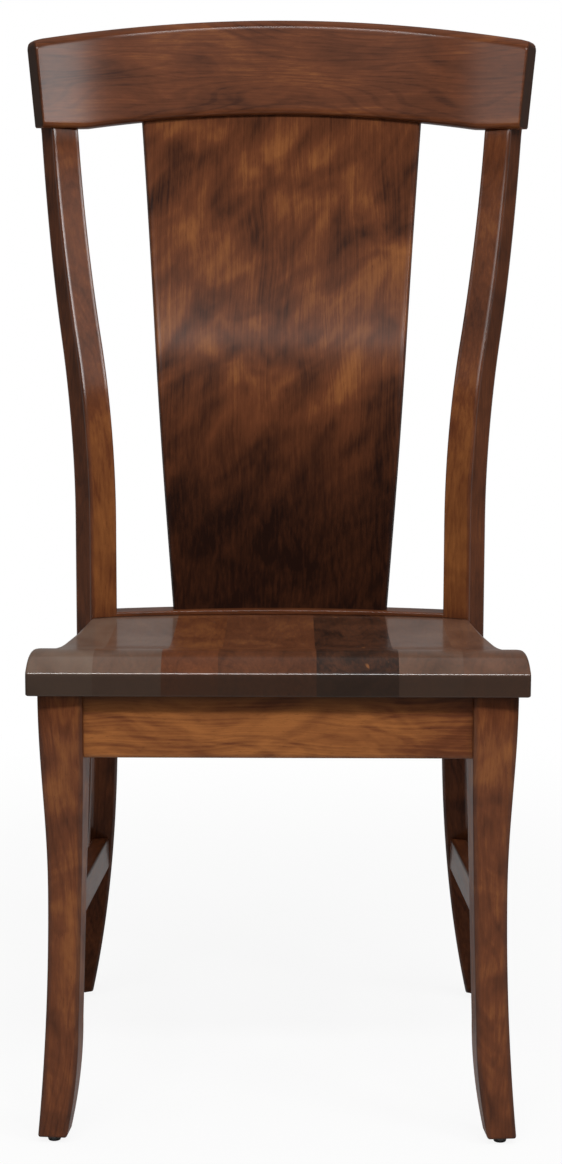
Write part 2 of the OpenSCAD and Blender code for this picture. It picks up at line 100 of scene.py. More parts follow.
class ChairBackSizes(PropertyGroup):
    """Back posts, splat and rear rail."""

    gap: length("Gap", 0.3365, "Clear distance between the posts at the seat")
    turned: turn("Turn", radians(27.0), "Turn of each post about the vertical")
    width: length("Post width", 0.029, "Width of a post's front face")
    seat_d: length("Depth at seat", 0.043, "Depth of a post at the seat")
    bend_d: length("Depth in bend", 0.043, "Depth of a post in its bend")
    top_d: length("Depth at top", 0.0335, "Depth of a post under the crest rail")
    foot_d: length("Depth at foot", 0.03, "Depth of a post at its foot")
    bend_r: length("Bend radius", 0.515, "Backward bend above the seat")
    counter_r: length("Counter bend radius", 1.03, "Counter bend below the crest rail")
    bend_up: length("Bend start", 0.067, "Start of the bend above the seat's ridge")
    counter_up: length("Counter bend start", 0.253, "Start of the counter bend above the ridge")
    sweep_r: length("Sweep radius", 0.725, "Backward sweep of the rear leg")
    sweep_z: length("Sweep start", 0.324, "Height where the rear leg's sweep starts")
    plan_r: length("Back radius", 0.475, "Plan radius of the back's front surface")
    splat_low: length("Splat foot", 0.219, "Width of the splat at the rear rail")
    splat_top: length("Splat top", 0.2885, "Width of the splat under the crest rail")
    splat_t: length("Splat thickness", 0.012, "Thickness of the splat")
    groove: length("Groove", 0.008, "Depth of the splat's grooves")
    rail_t: length("Rail thickness", 0.028, "Thickness of the rear rail")
    rail_h: length("Rail height", 0.065, "Height of the rear rail")
    rail_r: length("Rail radius", 0.7, "Plan radius of the rear rail's front face")
    rail_rise: length("Rail rise", 0.0045, "Rear rail above the seat's rear edge")


class ChairCrestSizes(PropertyGroup):
    """The arched crest rail."""

    top: length("Top", 1.043, "Top edge above the floor")
    height: length("Height", 0.102, "Height at the middle")
    thick: length("Thickness", 0.025, "Thickness of the rail")
    lean: turn("Lean", radians(14.0), "Backward lean")
    cut: turn("Cut", radians(3.0), "Tilt of the top and bottom edges")
    half: turn("Half angle", radians(25.8), "Half of the rail's angle in plan")
    sag: length("Top fall", 0.024, "Fall of the top edge from the middle to the ends")
    low_r: length("Bottom arch radius", 1.25, "Arch along the bottom edge")
    lift: length("Bottom lift", 0.0033, "Lift of the bottom edge at the middle")
    drop: length("Bottom fall", 0.0135, "Fall of the bottom edge at its level ends")
    proud: length("Step", 0.005, "Step from the rail's face back to the posts")
    top_round: length("Top rounding", 0.0095, "Rounding of the top front edge")
    corner: length("Corner rounding", 0.005, "Rounding of the top outer corners")


class ChairLegSizes(PropertyGroup):
    """Front legs, aprons, stretchers and glides."""

    width: length("Leg width", 0.0413, "Width of a front leg at its top")
    side_in: length("Side overhang", 0.0095, "Seat beyond the leg at the side")
    front_in: length("Front overhang", 0.014, "Seat in front of the leg")
    hollow_in: length("Hollow", 0.0065, "Depth of the hollow on the outside faces")
    hollow_r: length("Hollow radius", 2.7, "Hollow below its deepest point")
    hollow_z: length("Hollow height", 0.24, "Height of the hollow's deepest point")
    taper: length("Taper", 0.007, "Narrowing of the leg by its inside faces")
    head: length("Square head", 0.06, "Height of the leg's square head")
    flare_z: length("Flare start", 0.112, "Height where the foot's flare starts")
    flare_r: length("Flare radius", 0.52, "Radius of the foot's flare")
    turned: turn("Turn", radians(5.4), "Turn of each front leg about the vertical")
    arris: length("Arris", 0.0024, "Rounding of the legs' long edges")
    foot_round: length("Foot rounding", 0.0025, "Rounding of the feet's lower edges")
    apron_h: length("Apron height", 0.06, "Height of the front apron")
    apron_t: length("Apron thickness", 0.019, "Thickness of the aprons")
    apron_step: length("Apron step", 0.0065, "Step from the leg's arris back to the apron")
    side_h: length("Side apron height", 0.052, "Height of the side aprons")
    bar_h: length("Stretcher height", 0.032, "Height of a side stretcher")
    bar_t: length("Stretcher thickness", 0.017, "Thickness of a side stretcher")
    bar_z: length("Stretcher place", 0.224, "Height of its upper edge in front")
    bar_fall: turn("Stretcher fall", radians(5.0), "Fall of a side stretcher to the rear")
    glide_top: length("Glide top", 0.015, "Diameter of a glide against the wood")
    glide_low: length("Glide foot", 0.0115, "Diameter of a glide on the floor")
    glide_h: length("Glide height", 0.006, "Height of a glide")


class ChairFinish(PropertyGroup):
    """Colours of the stained and lacquered wood."""

    amber: stain("Amber", (0.290, 0.105, 0.030), "Lightest colour of the stained wood")
    russet: stain("Russet", (0.118, 0.036, 0.0135), "Middle colour of the stained wood")
    umber: stain("Umber", (0.0150, 0.0055, 0.0035), "Darkest colour of the stained wood")
    # The end grain colour also paints the seat's shadow on the apron and the heads of the front legs
    end_grain: stain("End grain", (0.025, 0.0165, 0.0125), "Stained end grain")
    # Painted sheen: a greyish reflection painted into the colour of the seat's outer boards
    haze: stain("Haze", (0.17, 0.126, 0.096), "Soft haze on the seat's outer boards")
    bare: stain("Bare wood", (0.42, 0.27, 0.15), "Unstained blocks and dowels")
    steel: stain("Steel", (0.5, 0.5, 0.48), "Screws and nails")
    nylon: stain("Nylon", (0.02, 0.018, 0.017), "Glides")
    lacquer: share("Lacquer", 1.0, "Share of the clear coat on every piece")


class ChairStage(PropertyGroup):
    """Camera and studio of the chair."""

    distance: length("Camera distance", 2.359, "Camera in front of the seat's front edge")
    height: length("Camera height", 0.909, "Camera above the floor")
    side: length("Camera side", 0.0118, "Sideways place of the camera")
    pitch: turn("Pitch", radians(9.158), "Downward tilt of the camera")
    pan: turn("Pan", radians(0.226), "Turn of the camera to the chair's left")
    roll: turn("Roll", radians(0.13), "Roll of the camera")
    focal_px: pixels("Focal length", 2687.0, "Focal length in pixels of the photograph")
    frame_px: pixels("Frame height", 1164.0, "Height of the photograph in pixels")
    paper: stain("Floor", (0.8, 0.8, 0.8), "Colour of the paper floor")
    floor_r: length("Floor radius", 1.7, "Radius of the round paper floor")
    front_glow: share("Front glow", 0.13, "Strength of the studio in front of the chair")
    back_glow: share("Back glow", 0.27, "Strength of the studio behind the chair")


GROUPS = {"chair_seat": ChairSeatSizes, "chair_back": ChairBackSizes,
          "chair_crest": ChairCrestSizes, "chair_legs": ChairLegSizes,
          "chair_finish": ChairFinish, "chair_stage": ChairStage}


# Fixed values: lengths and places are in metres

# Spare points beside a rounded corner, the least rounding, and the steps of a rounded end
SUPPORT = 0.0025
TINY = 0.0002
END_STEPS = 3
# Rounds in which a place that depends on itself is found
TRIES = 6
# Step along the grain from one seat board's plank to the next, and shift across it per metre
PLANK_STEP = 0.61
PLANK_SHIFT = 0.37

# The seat's front: rounding and turn of its arris, rounding below, and powers of its curves
ARRIS_R = 0.0078
ARRIS_TURN = radians(37)
UNDER_R = 0.001
ROLL_POWER = 2.8
FALL_POWER = 1.25
# Its rows: up the front face, then from past the arris, crowded up to a little behind the ridge
FACE_ROWS = (0.15, 0.5, 0.85)
ROLL_START = 0.0008
RIDGE_PAST = 0.012
CROWDING = 1.6
# Their counts: underneath, round each front edge, and on top to the ridge, the scoop and the rear
UNDER_ROWS = 6
ROUND_ROWS = 4
TOP_ROWS = (18, 16, 14)
# Steps across an inner and an outer board, steps of the outer one's rounded side, and the share
# of that rounding that its underside gets
BOARD_STEPS = 4
OUTER_STEPS = 9
SIDE_STEPS = 5
UNDER_SHARE = 0.4
# Gap between the seat and the rear rail
REAR_GAP = 0.0004

# Heights above the seat's ridge between which a post's depth changes, and its trimmed top
POST_DEEP = (0.02, 0.145)
POST_TOP = 0.03
# How far posts and splat run up past the crest rail's foot, and a piece laps into its neighbour
POST_BITE = 0.006
SPLAT_BITE = 0.008
JOINT_LAP = 0.001
# The splat behind the back's front surface, and the share of its lower groove that it fills
SPLAT_IN = 0.002
GROOVE_SHARE = 0.6
# The front apron's reach past the legs, and the side aprons' height that the seat cuts off
APRON_BITE = 0.002
APRON_SPARE = 0.012
# Side bars: out from the middle of leg and post, back from the post's, where they start behind
# the leg's, and how far a stretcher runs on past the post's
APRON_OUT = (0.004, 0.002)
STRETCHER_OUT = (-0.0005, 0.007)
POST_IN = 0.004
BAR_START = 0.012
STRETCHER_PAST = 0.012

# Stops along the pieces and round a glide, spaces between the corners of the wide ones, and
# spaces round a corner of the crest rail
CREST_STOPS, CREST_SIDES, CREST_ROUND = 56, 3, 5
SPLAT_STOPS, SPLAT_SIDES = 70, 18
APRON_STOPS, APRON_SIDES = 24, 7
POST_STOPS = 90
RAIL_STOPS = 36
LEG_STOPS = 60
BAR_STOPS = 12
GLIDE_STOPS = 32

# Roundings of the pieces' long edges and ends, and the feet's share for a post's ends
CREST_EDGES = (0.0045, 0.003, 0.004)
CREST_END = 0.0016
SPLAT_EDGE = 0.0026
SPLAT_END = 0.001
POST_EDGES = (0.0017, 0.003, 0.003, 0.0017)
POST_END_SHARE = 0.8
RAIL_EDGES = (0.0015, 0.002, 0.0025, 0.002)
APRON_EDGES = (0.0016, 0.0016, TINY, TINY)
BAR_EDGE = 0.002

# A glide: (radius, height) of its dished sole, and the same from the edges of its sole and top
GLIDE_DISH = ((0.0016, 0.0011), (0.0030, 0.0009), (0.0034, 0.0))
GLIDE_SOLE = ((-0.0007, 0.0), (-0.0002, 0.0002), (0.0, 0.0006))
GLIDE_TOP = ((-0.0004, -0.0008), (0.0, -0.0004), (-0.0003, 0.0))
# Share of the radius at which a glide's flat top has one more ring
GLIDE_RING = 0.6

# Share of end grain on the seat's front, and the height below which a cut end is a foot
SEAT_END = 0.92
FOOT_ZONE = 0.1
# Painted shadow of the seat on the apron and the front legs' heads, drawn in the end grain colour:
# distances below the seat where it comes, and its strength
APRON_SHADOW_SPAN, APRON_SHADE = (0.0135, 0.006), 0.9
LEG_SHADOW_SPAN, LEG_SHADE = (0.008, 0.002), 0.6
# Where the second tone comes and goes, in height, depth or width or below the splat's top, and
# what share of it is left
# Seat: the second tone is painted shade on the front face and roll of every board
SEAT_SHADE_FALL = 0.03
# Splat: lighter from the bend up, partly its own tone and partly painted light, and darker just under
# the crest rail by painted shadow
SPLAT_LIT_RISE, SPLAT_CREST_SHADOW, SPLAT_SHADOW_LEFT = (0.51, 0.71), (0.13, 0.03), 0.82
# Posts: the second tone is painted light on the front faces above the seat; the darker first tone is
# painted shade on the outer faces, the tops and the rear legs
POST_LIT_RISE, POST_LIT_FALL, POST_LIT_LEFT = (0.40, 0.46), (0.55, 0.75), 0.38
POST_SHADE_SIDE, POST_SIDE_LEFT = 0.004, 0.35
LEG_FALL = (0.03, 0.13)
APRON_RISE = (0.03, 0.17)
# Slant of the splat's clouds
SPLAT_SLANT = 0.55
# Tone, painted sheen (a greyish reflection painted into the colour) and coat of the seven seat boards
# from left to right
SEAT_BOARDS = ((0.44, 0.58, 0.42), (0.46, 0.40, 0.42), (0.58, 0.03, 0.20), (0.49, 0.06, 0.20),
               (0.18, 0.07, 0.22), (0.45, 0.33, 0.42), (0.50, 0.28, 0.40))
SPECKED_BOARD = 4
# How much darker a board is towards its front edge, as painted shade on its front face and roll, and
# the darkest tone there
FRONT_SHADE = 0.14
LEAST_TONE = 0.06

# The floor is white from the outer share of its radius, and nearly white up to the inner one
FLOOR_FADE, FLOOR_LEAST = (0.35, 0.9), 0.9
# Values of a direction's backward part between which the studio's glow changes
GLOW_TURN = (-0.35, 0.65)
# Lamps of the studio: name, place, height aimed at, size and power in watts
LAMPS = (("front_strip", (0.0, -4.2, 4.9), 0.8, (5.0, 0.6), 262),
         ("right_softbox", (1.95, -1.7, 2.4), 0.9, (0.9, 0.9), 31),
         ("left_softbox", (-1.9, -1.75, 2.4), 0.9, (0.8, 0.8), 8),
         ("top_softbox", (0.0, 0.3, 3.4), 0.4, (3.6, 2.6), 19))


# Curves and places of the chair


def arc_drop(radius, d):
    return radius - sqrt(radius * radius - d * d)


def ease(x, x0, x1, a, b):
    """Smooth step from a to b while x runs from x0 to x1."""
    if x <= x0:
        return a
    if x >= x1:
        return b
    return a + (b - a) * (1 - cos(pi * (x - x0) / (x1 - x0))) / 2


def oblong(x0, x1, y0, y1):
    return (x0, y0), (x1, y0), (x1, y1), (x0, y1)


def around(centre_y, r, angle, z):
    """A point on a plan circle round a centre on the chair's middle plane."""
    return r * sin(angle), centre_y + r * cos(angle), z


class Shape:
    """Places and curves of the chair in metres, with y from the seat's front edge."""

    def __init__(self, scene):
        seat, back = scene.chair_seat, scene.chair_back
        crest, legs = scene.chair_crest, scene.chair_legs
        self.seat, self.back, self.crest, self.legs = seat, back, crest, legs
        self.fall = tan(seat.slope)
        self.base = seat.height - seat.ridge_t + seat.ridge_y * self.fall
        self.rail_cy = seat.depth - back.rail_r
        self.post_x = back.gap / 2
        self.post_y = self.rail_cy + sqrt(back.rail_r ** 2 - self.post_x ** 2)
        self.out = Vector((cos(back.turned), -sin(back.turned), 0))
        self.rear = Vector((sin(back.turned), cos(back.turned), 0))
        arris_x = self.post_x + back.width * self.out.x
        arris_y = self.post_y + back.width * self.out.y
        self.mid_x = (self.post_x + arris_x) / 2
        self.mid_y = (self.post_y + arris_y) / 2
        self.axis_y = self.mid_y - sqrt(back.plan_r ** 2 - self.mid_x ** 2)
        self.rail_top = self.base - seat.depth * self.fall + seat.rear_t + back.rail_rise
        bend = back.counter_up - back.bend_up
        self.counter_s = bend / back.bend_r
        self.counter_t0 = arc_drop(back.bend_r, bend)
        self.crest_z = crest.top - crest.height
        self.crest_k = tan(crest.lean)
        self.crest_r = back.plan_r + self.post_travel(self.crest_z) - crest.proud
        self.crest_th = crest.thick / cos(crest.lean)
        self.crest_u = crest.height * (self.crest_k * sin(crest.cut) + cos(crest.cut))
        half_x = self.crest_r * sin(crest.half)
        self.top_arc = (half_x ** 2 + crest.sag ** 2) / (2 * crest.sag)
        self.leg_x = seat.width / 2 - legs.side_in
        self.leg_y = legs.front_in
        self.apron_y = self.leg_y - legs.width * sin(legs.turned) + legs.apron_step
        self.apron_in = self.leg_x - legs.width * cos(legs.turned)
        self.side_x = (seat.width / 2 - arris_x) / arris_y
        foot = self.post_travel(legs.glide_h) + self.post_depth(legs.glide_h) / 2
        self.rear_foot = (self.mid_x + foot * self.rear.x, self.mid_y + foot * self.rear.y)
        half = (self.leg_outside(legs.glide_h) + self.leg_inside(legs.glide_h)) / 2
        self.front_foot = tuple(self.leg_place(-half, half, 0)[:2])

    def post_travel(self, z):
        """Backward travel of a post's front face at height z."""
        back, ridge = self.back, self.seat.height
        if z < back.sweep_z:
            return arc_drop(back.sweep_r, back.sweep_z - z)
        if z < ridge + back.bend_up:
            return 0.0
        if z < ridge + back.counter_up:
            return arc_drop(back.bend_r, z - ridge - back.bend_up)
        d = back.counter_r * self.counter_s
        rest = z - ridge - back.counter_up
        return (self.counter_t0 + sqrt(back.counter_r ** 2 - (d - rest) ** 2)
                - sqrt(back.counter_r ** 2 - d ** 2))

    def post_depth(self, z):
        back, ridge = self.back, self.seat.height
        if z < back.sweep_z:
            return ease(z, 0, back.sweep_z, back.foot_d, back.seat_d)
        low, high = ridge + POST_DEEP[0], ridge + POST_DEEP[1]
        if z < high:
            return ease(z, low, high, back.seat_d, back.bend_d)
        return ease(z, high, self.crest_z, back.bend_d, back.top_d)

    def post_place(self, across, deep, z):
        """A point of the right post, across its face from the inside and deep behind it."""
        p = Vector((self.post_x, self.post_y, 0)) + self.out * across + self.rear * deep
        return Vector((p.x, p.y, z))

    def leg_outside(self, z):
        legs = self.legs
        if z < legs.hollow_z:
            return legs.hollow_in - arc_drop(legs.hollow_r, legs.hollow_z - z)
        return ease(z, legs.hollow_z, self.base, legs.hollow_in, 0)

    def leg_inside(self, z):
        legs = self.legs
        run = self.base - legs.head
        share_down = min(1.0, max(0.0, (run - z) / (run - legs.flare_z)))
        flare = arc_drop(legs.flare_r, legs.flare_z - z) if z < legs.flare_z else 0.0
        return legs.width - legs.taper * share_down - flare

    def leg_place(self, x, y, z):
        """A point of the right front leg, from its top outside corner."""
        c, s = cos(self.legs.turned), sin(self.legs.turned)
        return Vector((self.leg_x + x * c - y * s, self.leg_y + x * s + y * c, z))

    def seat_top(self, y):
        """Height of the seat's upper surface at distance y behind its front edge."""
        seat = self.seat
        if y < seat.ridge_y:
            rise = seat.ridge_t - seat.edge
            t = seat.edge + rise * (1 - (1 - max(y, 0) / seat.ridge_y) ** ROLL_POWER)
        elif y < seat.scoop_y:
            part = sin(pi / 2 * (y - seat.ridge_y) / (seat.scoop_y - seat.ridge_y))
            t = seat.ridge_t - (seat.ridge_t - seat.scoop_t) * part ** FALL_POWER
        else:
            t = ease(y, seat.scoop_y + seat.level_y, seat.depth, seat.scoop_t, seat.rear_t)
        return self.base - y * self.fall + t

    def seat_base(self, y):
        return self.base - y * self.fall

    def seat_rear(self, x):
        """Distance of the seat's rear edge behind its front edge, at x from the middle."""
        x = abs(x)
        if x < self.post_x:
            return self.rail_cy + sqrt(self.back.rail_r ** 2 - x * x)
        return self.post_y + (x - self.post_x) * self.out.y / self.out.x

    def crest_low(self, x, y):
        crest = self.crest
        v = crest.lift - arc_drop(crest.low_r, x)
        return self.crest_cut(max(-crest.drop, v), y)

    def crest_high(self, x, y):
        return self.crest_cut(self.crest_u - arc_drop(self.top_arc, x), y)

    def crest_cut(self, v, y):
        tilt = self.crest.cut
        away = y - self.axis_y - self.crest_r
        return self.crest_z + v / cos(tilt) - away * tan(tilt)

    def crest_corner(self, angle, surface, behind):
        """(radius, height) where a saw cut meets the crest's face or its back."""
        z = self.crest_z
        for _ in range(TRIES):
            r = self.crest_r + behind + (z - self.crest_z) * self.crest_k
            z = surface(r * sin(angle), self.axis_y + r * cos(angle))
        return r, z


# Mesh helpers: every piece is a skin over rings of points


def inset_corners(corners, by):
    """The same outline with each side moved inwards; corners run anticlockwise."""
    lines = []
    for i, corner in enumerate(corners):
        a, b = Vector(corner), Vector(corners[(i + 1) % len(corners)])
        along = (b - a).normalized()
        lines.append((a + Vector((-along.y, along.x)) * by, along))
    moved = []
    for (p, d), (q, e) in zip(lines[-1:] + lines, lines):
        w = q - p
        moved.append(p + d * ((w.x * e.y - w.y * e.x) / (d.x * e.y - d.y * e.x)))
    return moved


def rounded(corners, radii, inset=0.0, steps=4, sides=2):
    """Outline with rounded corners: [(x, y, arris)], with spare points beside each corner."""
    corners = inset_corners(corners, inset) if inset else [Vector(c) for c in corners]
    count = len(corners)
    arcs = []
    for i, corner in enumerate(corners):
        r = max(radii[i] - inset, TINY)
        to_last = (corners[i - 1] - corner).normalized()
        to_next = (corners[(i + 1) % count] - corner).normalized()
        half = to_last.angle(to_next) / 2
        centre = corner + (to_last + to_next).normalized() * (r / sin(half))
        start = corner + to_last * (r / tan(half)) - centre
        arc = []
        for k in range(steps + 1):
            a = (pi - 2 * half) * k / steps
            arc.append(centre + Vector((start.x * cos(a) - start.y * sin(a),
                                        start.x * sin(a) + start.y * cos(a))))
        arcs.append(arc)
    outline = []
    for i, arc in enumerate(arcs):
        outline += [(p.x, p.y, 1.0) for p in arc]
        a, b = arc[-1], arcs[(i + 1) % count][0]
        run = (b - a).length
        near = min(SUPPORT, run / 4) / max(run, TINY)
        stops = [near] + [near + (1 - 2 * near) * k / sides for k in range(1, sides)] + [1 - near]
        outline += [(*(a + (b - a) * s), 0.0) for s in stops]
    return outline


def stations(start, stop, count, rounding=0.0):
    """Places along a piece with rounded ends: [(place, inset, end grain)]."""
    turns = [pi / 2 * k / END_STEPS for k in range(END_STEPS + 1)]
    ends = [(rounding * (1 - cos(a)), rounding * (1 - sin(a)), 1 - k / END_STEPS)
            for k, a in enumerate(turns)]
    near = [(start + d, inset, mask) for d, inset, mask in ends]
    far = [(stop - d, inset, mask) for d, inset, mask in reversed(ends)]
    a, b = near[-1][0], far[0][0]
    middle = [a + SUPPORT] + [a + (b - a) * k / count for k in range(1, count)] + [b - SUPPORT]
    cap = rounding + SUPPORT
    return ([(start, cap, 1.0)] + near + [(m, 0.0, 0.0) for m in middle] + far
            + [(stop, cap, 1.0)])


def sweep(stops, section, radii, spot, **rounding):
    """Rings along a piece: section gives the corners at a stop, and spot makes each point."""
    rings = []
    for place, inset, end in stops:
        outline = rounded(section(place), radii, inset, **rounding)
        rings.append([spot(place, a, b, mask, end) for a, b, mask in outline])
    return rings


class Spot:
    """One point of a skin: its place, its place in the plank and its share of arris, end grain
    and second tone. The end grain share also paints the seat's shadow on the apron and legs, and
    the second tone is painted light and shade on the seat and posts, partly on the splat, and the
    wood's own tone on the legs and apron."""

    def __init__(self, place, grain, arris=0.0, end=0.0, second=0.0):
        self.place, self.grain, self.wear = Vector(place), grain, (arris, end, second)


def add_object(name, data):
    thing = bpy.data.objects.new(name, data)
    bpy.context.scene.collection.objects.link(thing)
    return thing


def add_mesh(name, bm):
    mesh = bpy.data.meshes.new(name)
    bm.to_mesh(mesh)
    bm.free()
    return add_object(name, mesh)


def skin(name, rings, mirrored, plank):
    """A closed mesh over rings of spots; plank moves the piece to another part of the wood."""
    bm = bmesh.new()
    grain = bm.verts.layers.float_vector.new("grain")
    wear = bm.verts.layers.float_vector.new("wear")
    rows = []
    for ring in rings:
        row = []
        for spot in ring:
            x, y, z = spot.place
            along, across, deep = spot.grain
            vert = bm.verts.new((-x if mirrored else x, y + FRONT, z))
            vert[grain] = (along + plank, across + plank * PLANK_SHIFT, deep)
            vert[wear] = spot.wear
            row.append(vert)
        rows.append(row)
    for row, after in zip(rows, rows[1:]):
        for j in range(len(row)):
            k = (j + 1) % len(row)
            bm.faces.new((row[j], row[k], after[k], after[j])).smooth = True
    for cap in (bm.faces.new(rows[0][::-1]), bm.faces.new(rows[-1])):
        for edge in cap.edges:
            edge.smooth = False
    bmesh.ops.recalc_face_normals(bm, faces=bm.faces)
    piece = add_mesh(name, bm)
    weighted = piece.modifiers.new("Even flats", "WEIGHTED_NORMAL")
    weighted.weight, weighted.keep_sharp = 80, True
    return piece


def add_piece(node, name, rings, material, mirrored=False, plank=0.0):
    """Puts a skin in place of its packed node, riding on the frame."""
    piece = skin(name, rings, mirrored, plank)
    piece.data.materials.append(material)
    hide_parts(node)
    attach(piece, "root")


def add_pair(node, name, rings, material, planks=(0.0, 0.0)):
    """Adds the mirrored left piece and the right one, each from its own plank."""
    for side, plank in zip(("left_", "right_"), planks):
        add_piece(side + node, side + name, rings, material, side == "left_", plank)


def dress_node(node, material, bevel=0.0):
    """Gives a packed node that is shown as it is its own finish and softened edges."""
    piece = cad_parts[node]
    piece.data.materials.clear()
    piece.data.materials.append(material)
    if bevel:
        soft = piece.modifiers.new("Eased edges", "BEVEL")
        soft.width, soft.segments, soft.limit_method = bevel, 2, "ANGLE"
        soft.angle_limit = radians(40)


# Shader groups


class NodeSheet:
    """Adds nodes to a tree in columns from left to right."""

    def __init__(self, tree):
        self.tree = tree

    def add(self, kind, settings=None, **sockets):
        node = self.tree.nodes.new(kind)
        count = len(self.tree.nodes)
        node.location = (count * 190, -(count % 4) * 230)
        for key, value in (settings or {}).items():
            setattr(node, key, value)
        self.feed(node, **sockets)
        return node

    def feed(self, node, **sockets):
        """Links or sets inputs by name, or by number where the key is like _2."""
        names = {s.name.lower().replace(" ", "_"): s for s in reversed(node.inputs) if s.enabled}
        for key, value in sockets.items():
            socket = node.inputs[int(key[1:])] if key[0] == "_" else names[key]
            if isinstance(value, bpy.types.NodeSocket):
                self.tree.links.new(value, socket)
            else:
                socket.default_value = value

    def math(self, operation, a, b=0.0, clamp=False):
        node = self.add("ShaderNodeMath", {"operation": operation, "use_clamp": clamp}, _0=a, _1=b)
        return node.outputs[0]

    def times(self, a, b):
        return self.math("MULTIPLY", a, b)

    def plus(self, a, b):
        return self.math("ADD", a, b)

    def minus(self, a, b, clamp=False):
        return self.math("SUBTRACT", a, b, clamp)

    def vector(self, operation, a, b, c=(0.0, 0.0, 0.0)):
        return self.add("ShaderNodeVectorMath", {"operation": operation}, _0=a, _1=b, _2=c).outputs[0]

    def split(self, vector):
        return self.add("ShaderNodeSeparateXYZ", vector=vector).outputs

    def blend(self, factor, a, b):
        return self.add("ShaderNodeMix", {"data_type": "RGBA"}, _0=factor, _6=a, _7=b).outputs[2]

    def spread(self, value, low, high, to_low=0.0, to_high=1.0, curve="SMOOTHSTEP"):
        node = self.add("ShaderNodeMapRange", {"interpolation_type": curve}, value=value,
                        from_min=low, from_max=high, to_min=to_low, to_max=to_high)
        return node.outputs[0]

    def between(self, value, a, b):
        """Runs straight from a to b while the value runs from 0 to 1."""
        return self.spread(value, 0.0, 1.0, a, b, "LINEAR")

    def plain_noise(self, vector, detail, rough):
        node = self.add("ShaderNodeTexNoise", vector=vector, scale=1.0, detail=detail,
                        roughness=rough)
        return node.outputs[0]

    def noise(self, vector, cells, offset, detail=2.0, rough=0.5):
        """Noise over a stretched copy of a vector, with so many cells per metre on each axis."""
        moved = self.vector("MULTIPLY_ADD", vector, cells, (offset, offset * 1.7, offset * 0.6))
        return self.plain_noise(moved, detail, rough)


VEC, COL, NUM = "NodeSocketVector", "NodeSocketColor", "NodeSocketFloat"

# Growth lines: sideways wander in metres, changes per metre of length, and rings of the flames
LINE_WANDER = 0.035
LINE_CHANGES = 3.0
FLAME_RINGS = 17
# Stain: swirl of its clouds in metres, and the share of its flecks in the tone
CLOUD_SWIRL = 0.09
FLECK_SHARE = 0.09


def open_group(name, inputs, outputs):
    """A new shader group with sockets given as kind: labels; its sheet and its input sockets."""
    tree = bpy.data.node_groups.new(name, "ShaderNodeTree")
    for way, sockets in (("INPUT", inputs), ("OUTPUT", outputs)):
        for kind, labels in sockets.items():
            for label in labels:
                tree.interface.new_socket(label, in_out=way, socket_type=kind)
    sheet = NodeSheet(tree)
    return sheet, sheet.add("NodeGroupInput").outputs


def close_group(sheet, **values):
    sheet.add("NodeGroupOutput", **values)
    return sheet.tree


def growth_group():
    """Long fine lines, pores and flames of the wood, over grain coordinates in metres."""
    sheet, given = open_group("Growth lines", {VEC: ("Grain",), NUM: ("Lines per metre", "Pores")},
                              {NUM: ("Lines", "Pores", "Flames")})
    grain, per_metre = given["Grain"], given["Lines per metre"]
    along, across, deep = sheet.split(grain)
    wander = sheet.noise(grain, (5.0, 9.0, 9.0), 3.1)
    bent = sheet.plus(across, sheet.times(sheet.minus(wander, 0.5), LINE_WANDER))
    lined = sheet.add("ShaderNodeCombineXYZ", x=sheet.times(along, LINE_CHANGES),
                      y=sheet.times(bent, per_metre), z=sheet.times(deep, per_metre))
    lines = sheet.plain_noise(lined.outputs[0], 3.0, 0.62)
    pores = sheet.spread(sheet.noise(grain, (150.0, 2300.0, 2300.0), 9.0, 1.0), 0.66, 0.74)
    rings = sheet.noise(grain, (3.2, 15.0, 15.0), 4.3, 1.5)
    waves = sheet.math("SINE", sheet.times(rings, 2 * pi * FLAME_RINGS))
    return close_group(sheet, lines=lines, pores=sheet.times(pores, given["Pores"]),
                       flames=sheet.spread(waves, 0.35, 1.0))


def figure_group():
    """Cloudy mottling and small flecks of the stain, drawn out across the grain."""
    sheet, given = open_group("Stain clouds", {VEC: ("Grain", "Stretch")},
                              {NUM: ("Clouds", "Flecks")})
    grain = given["Grain"]
    swirl = sheet.noise(grain, (10.0, 10.0, 10.0), 1.0, 1.0)
    shifted = sheet.vector("ADD", grain, sheet.times(sheet.minus(swirl, 0.5), CLOUD_SWIRL))
    clouds = sheet.plain_noise(sheet.vector("MULTIPLY", shifted, given["Stretch"]), 2.5, 0.5)
    flecks = sheet.noise(grain, (60.0, 240.0, 240.0), 5.0, 2.0, 0.6)
    return close_group(sheet, clouds=sheet.spread(clouds, 0.28, 0.72, curve="LINEAR"),
                       flecks=sheet.spread(flecks, 0.35, 0.75))


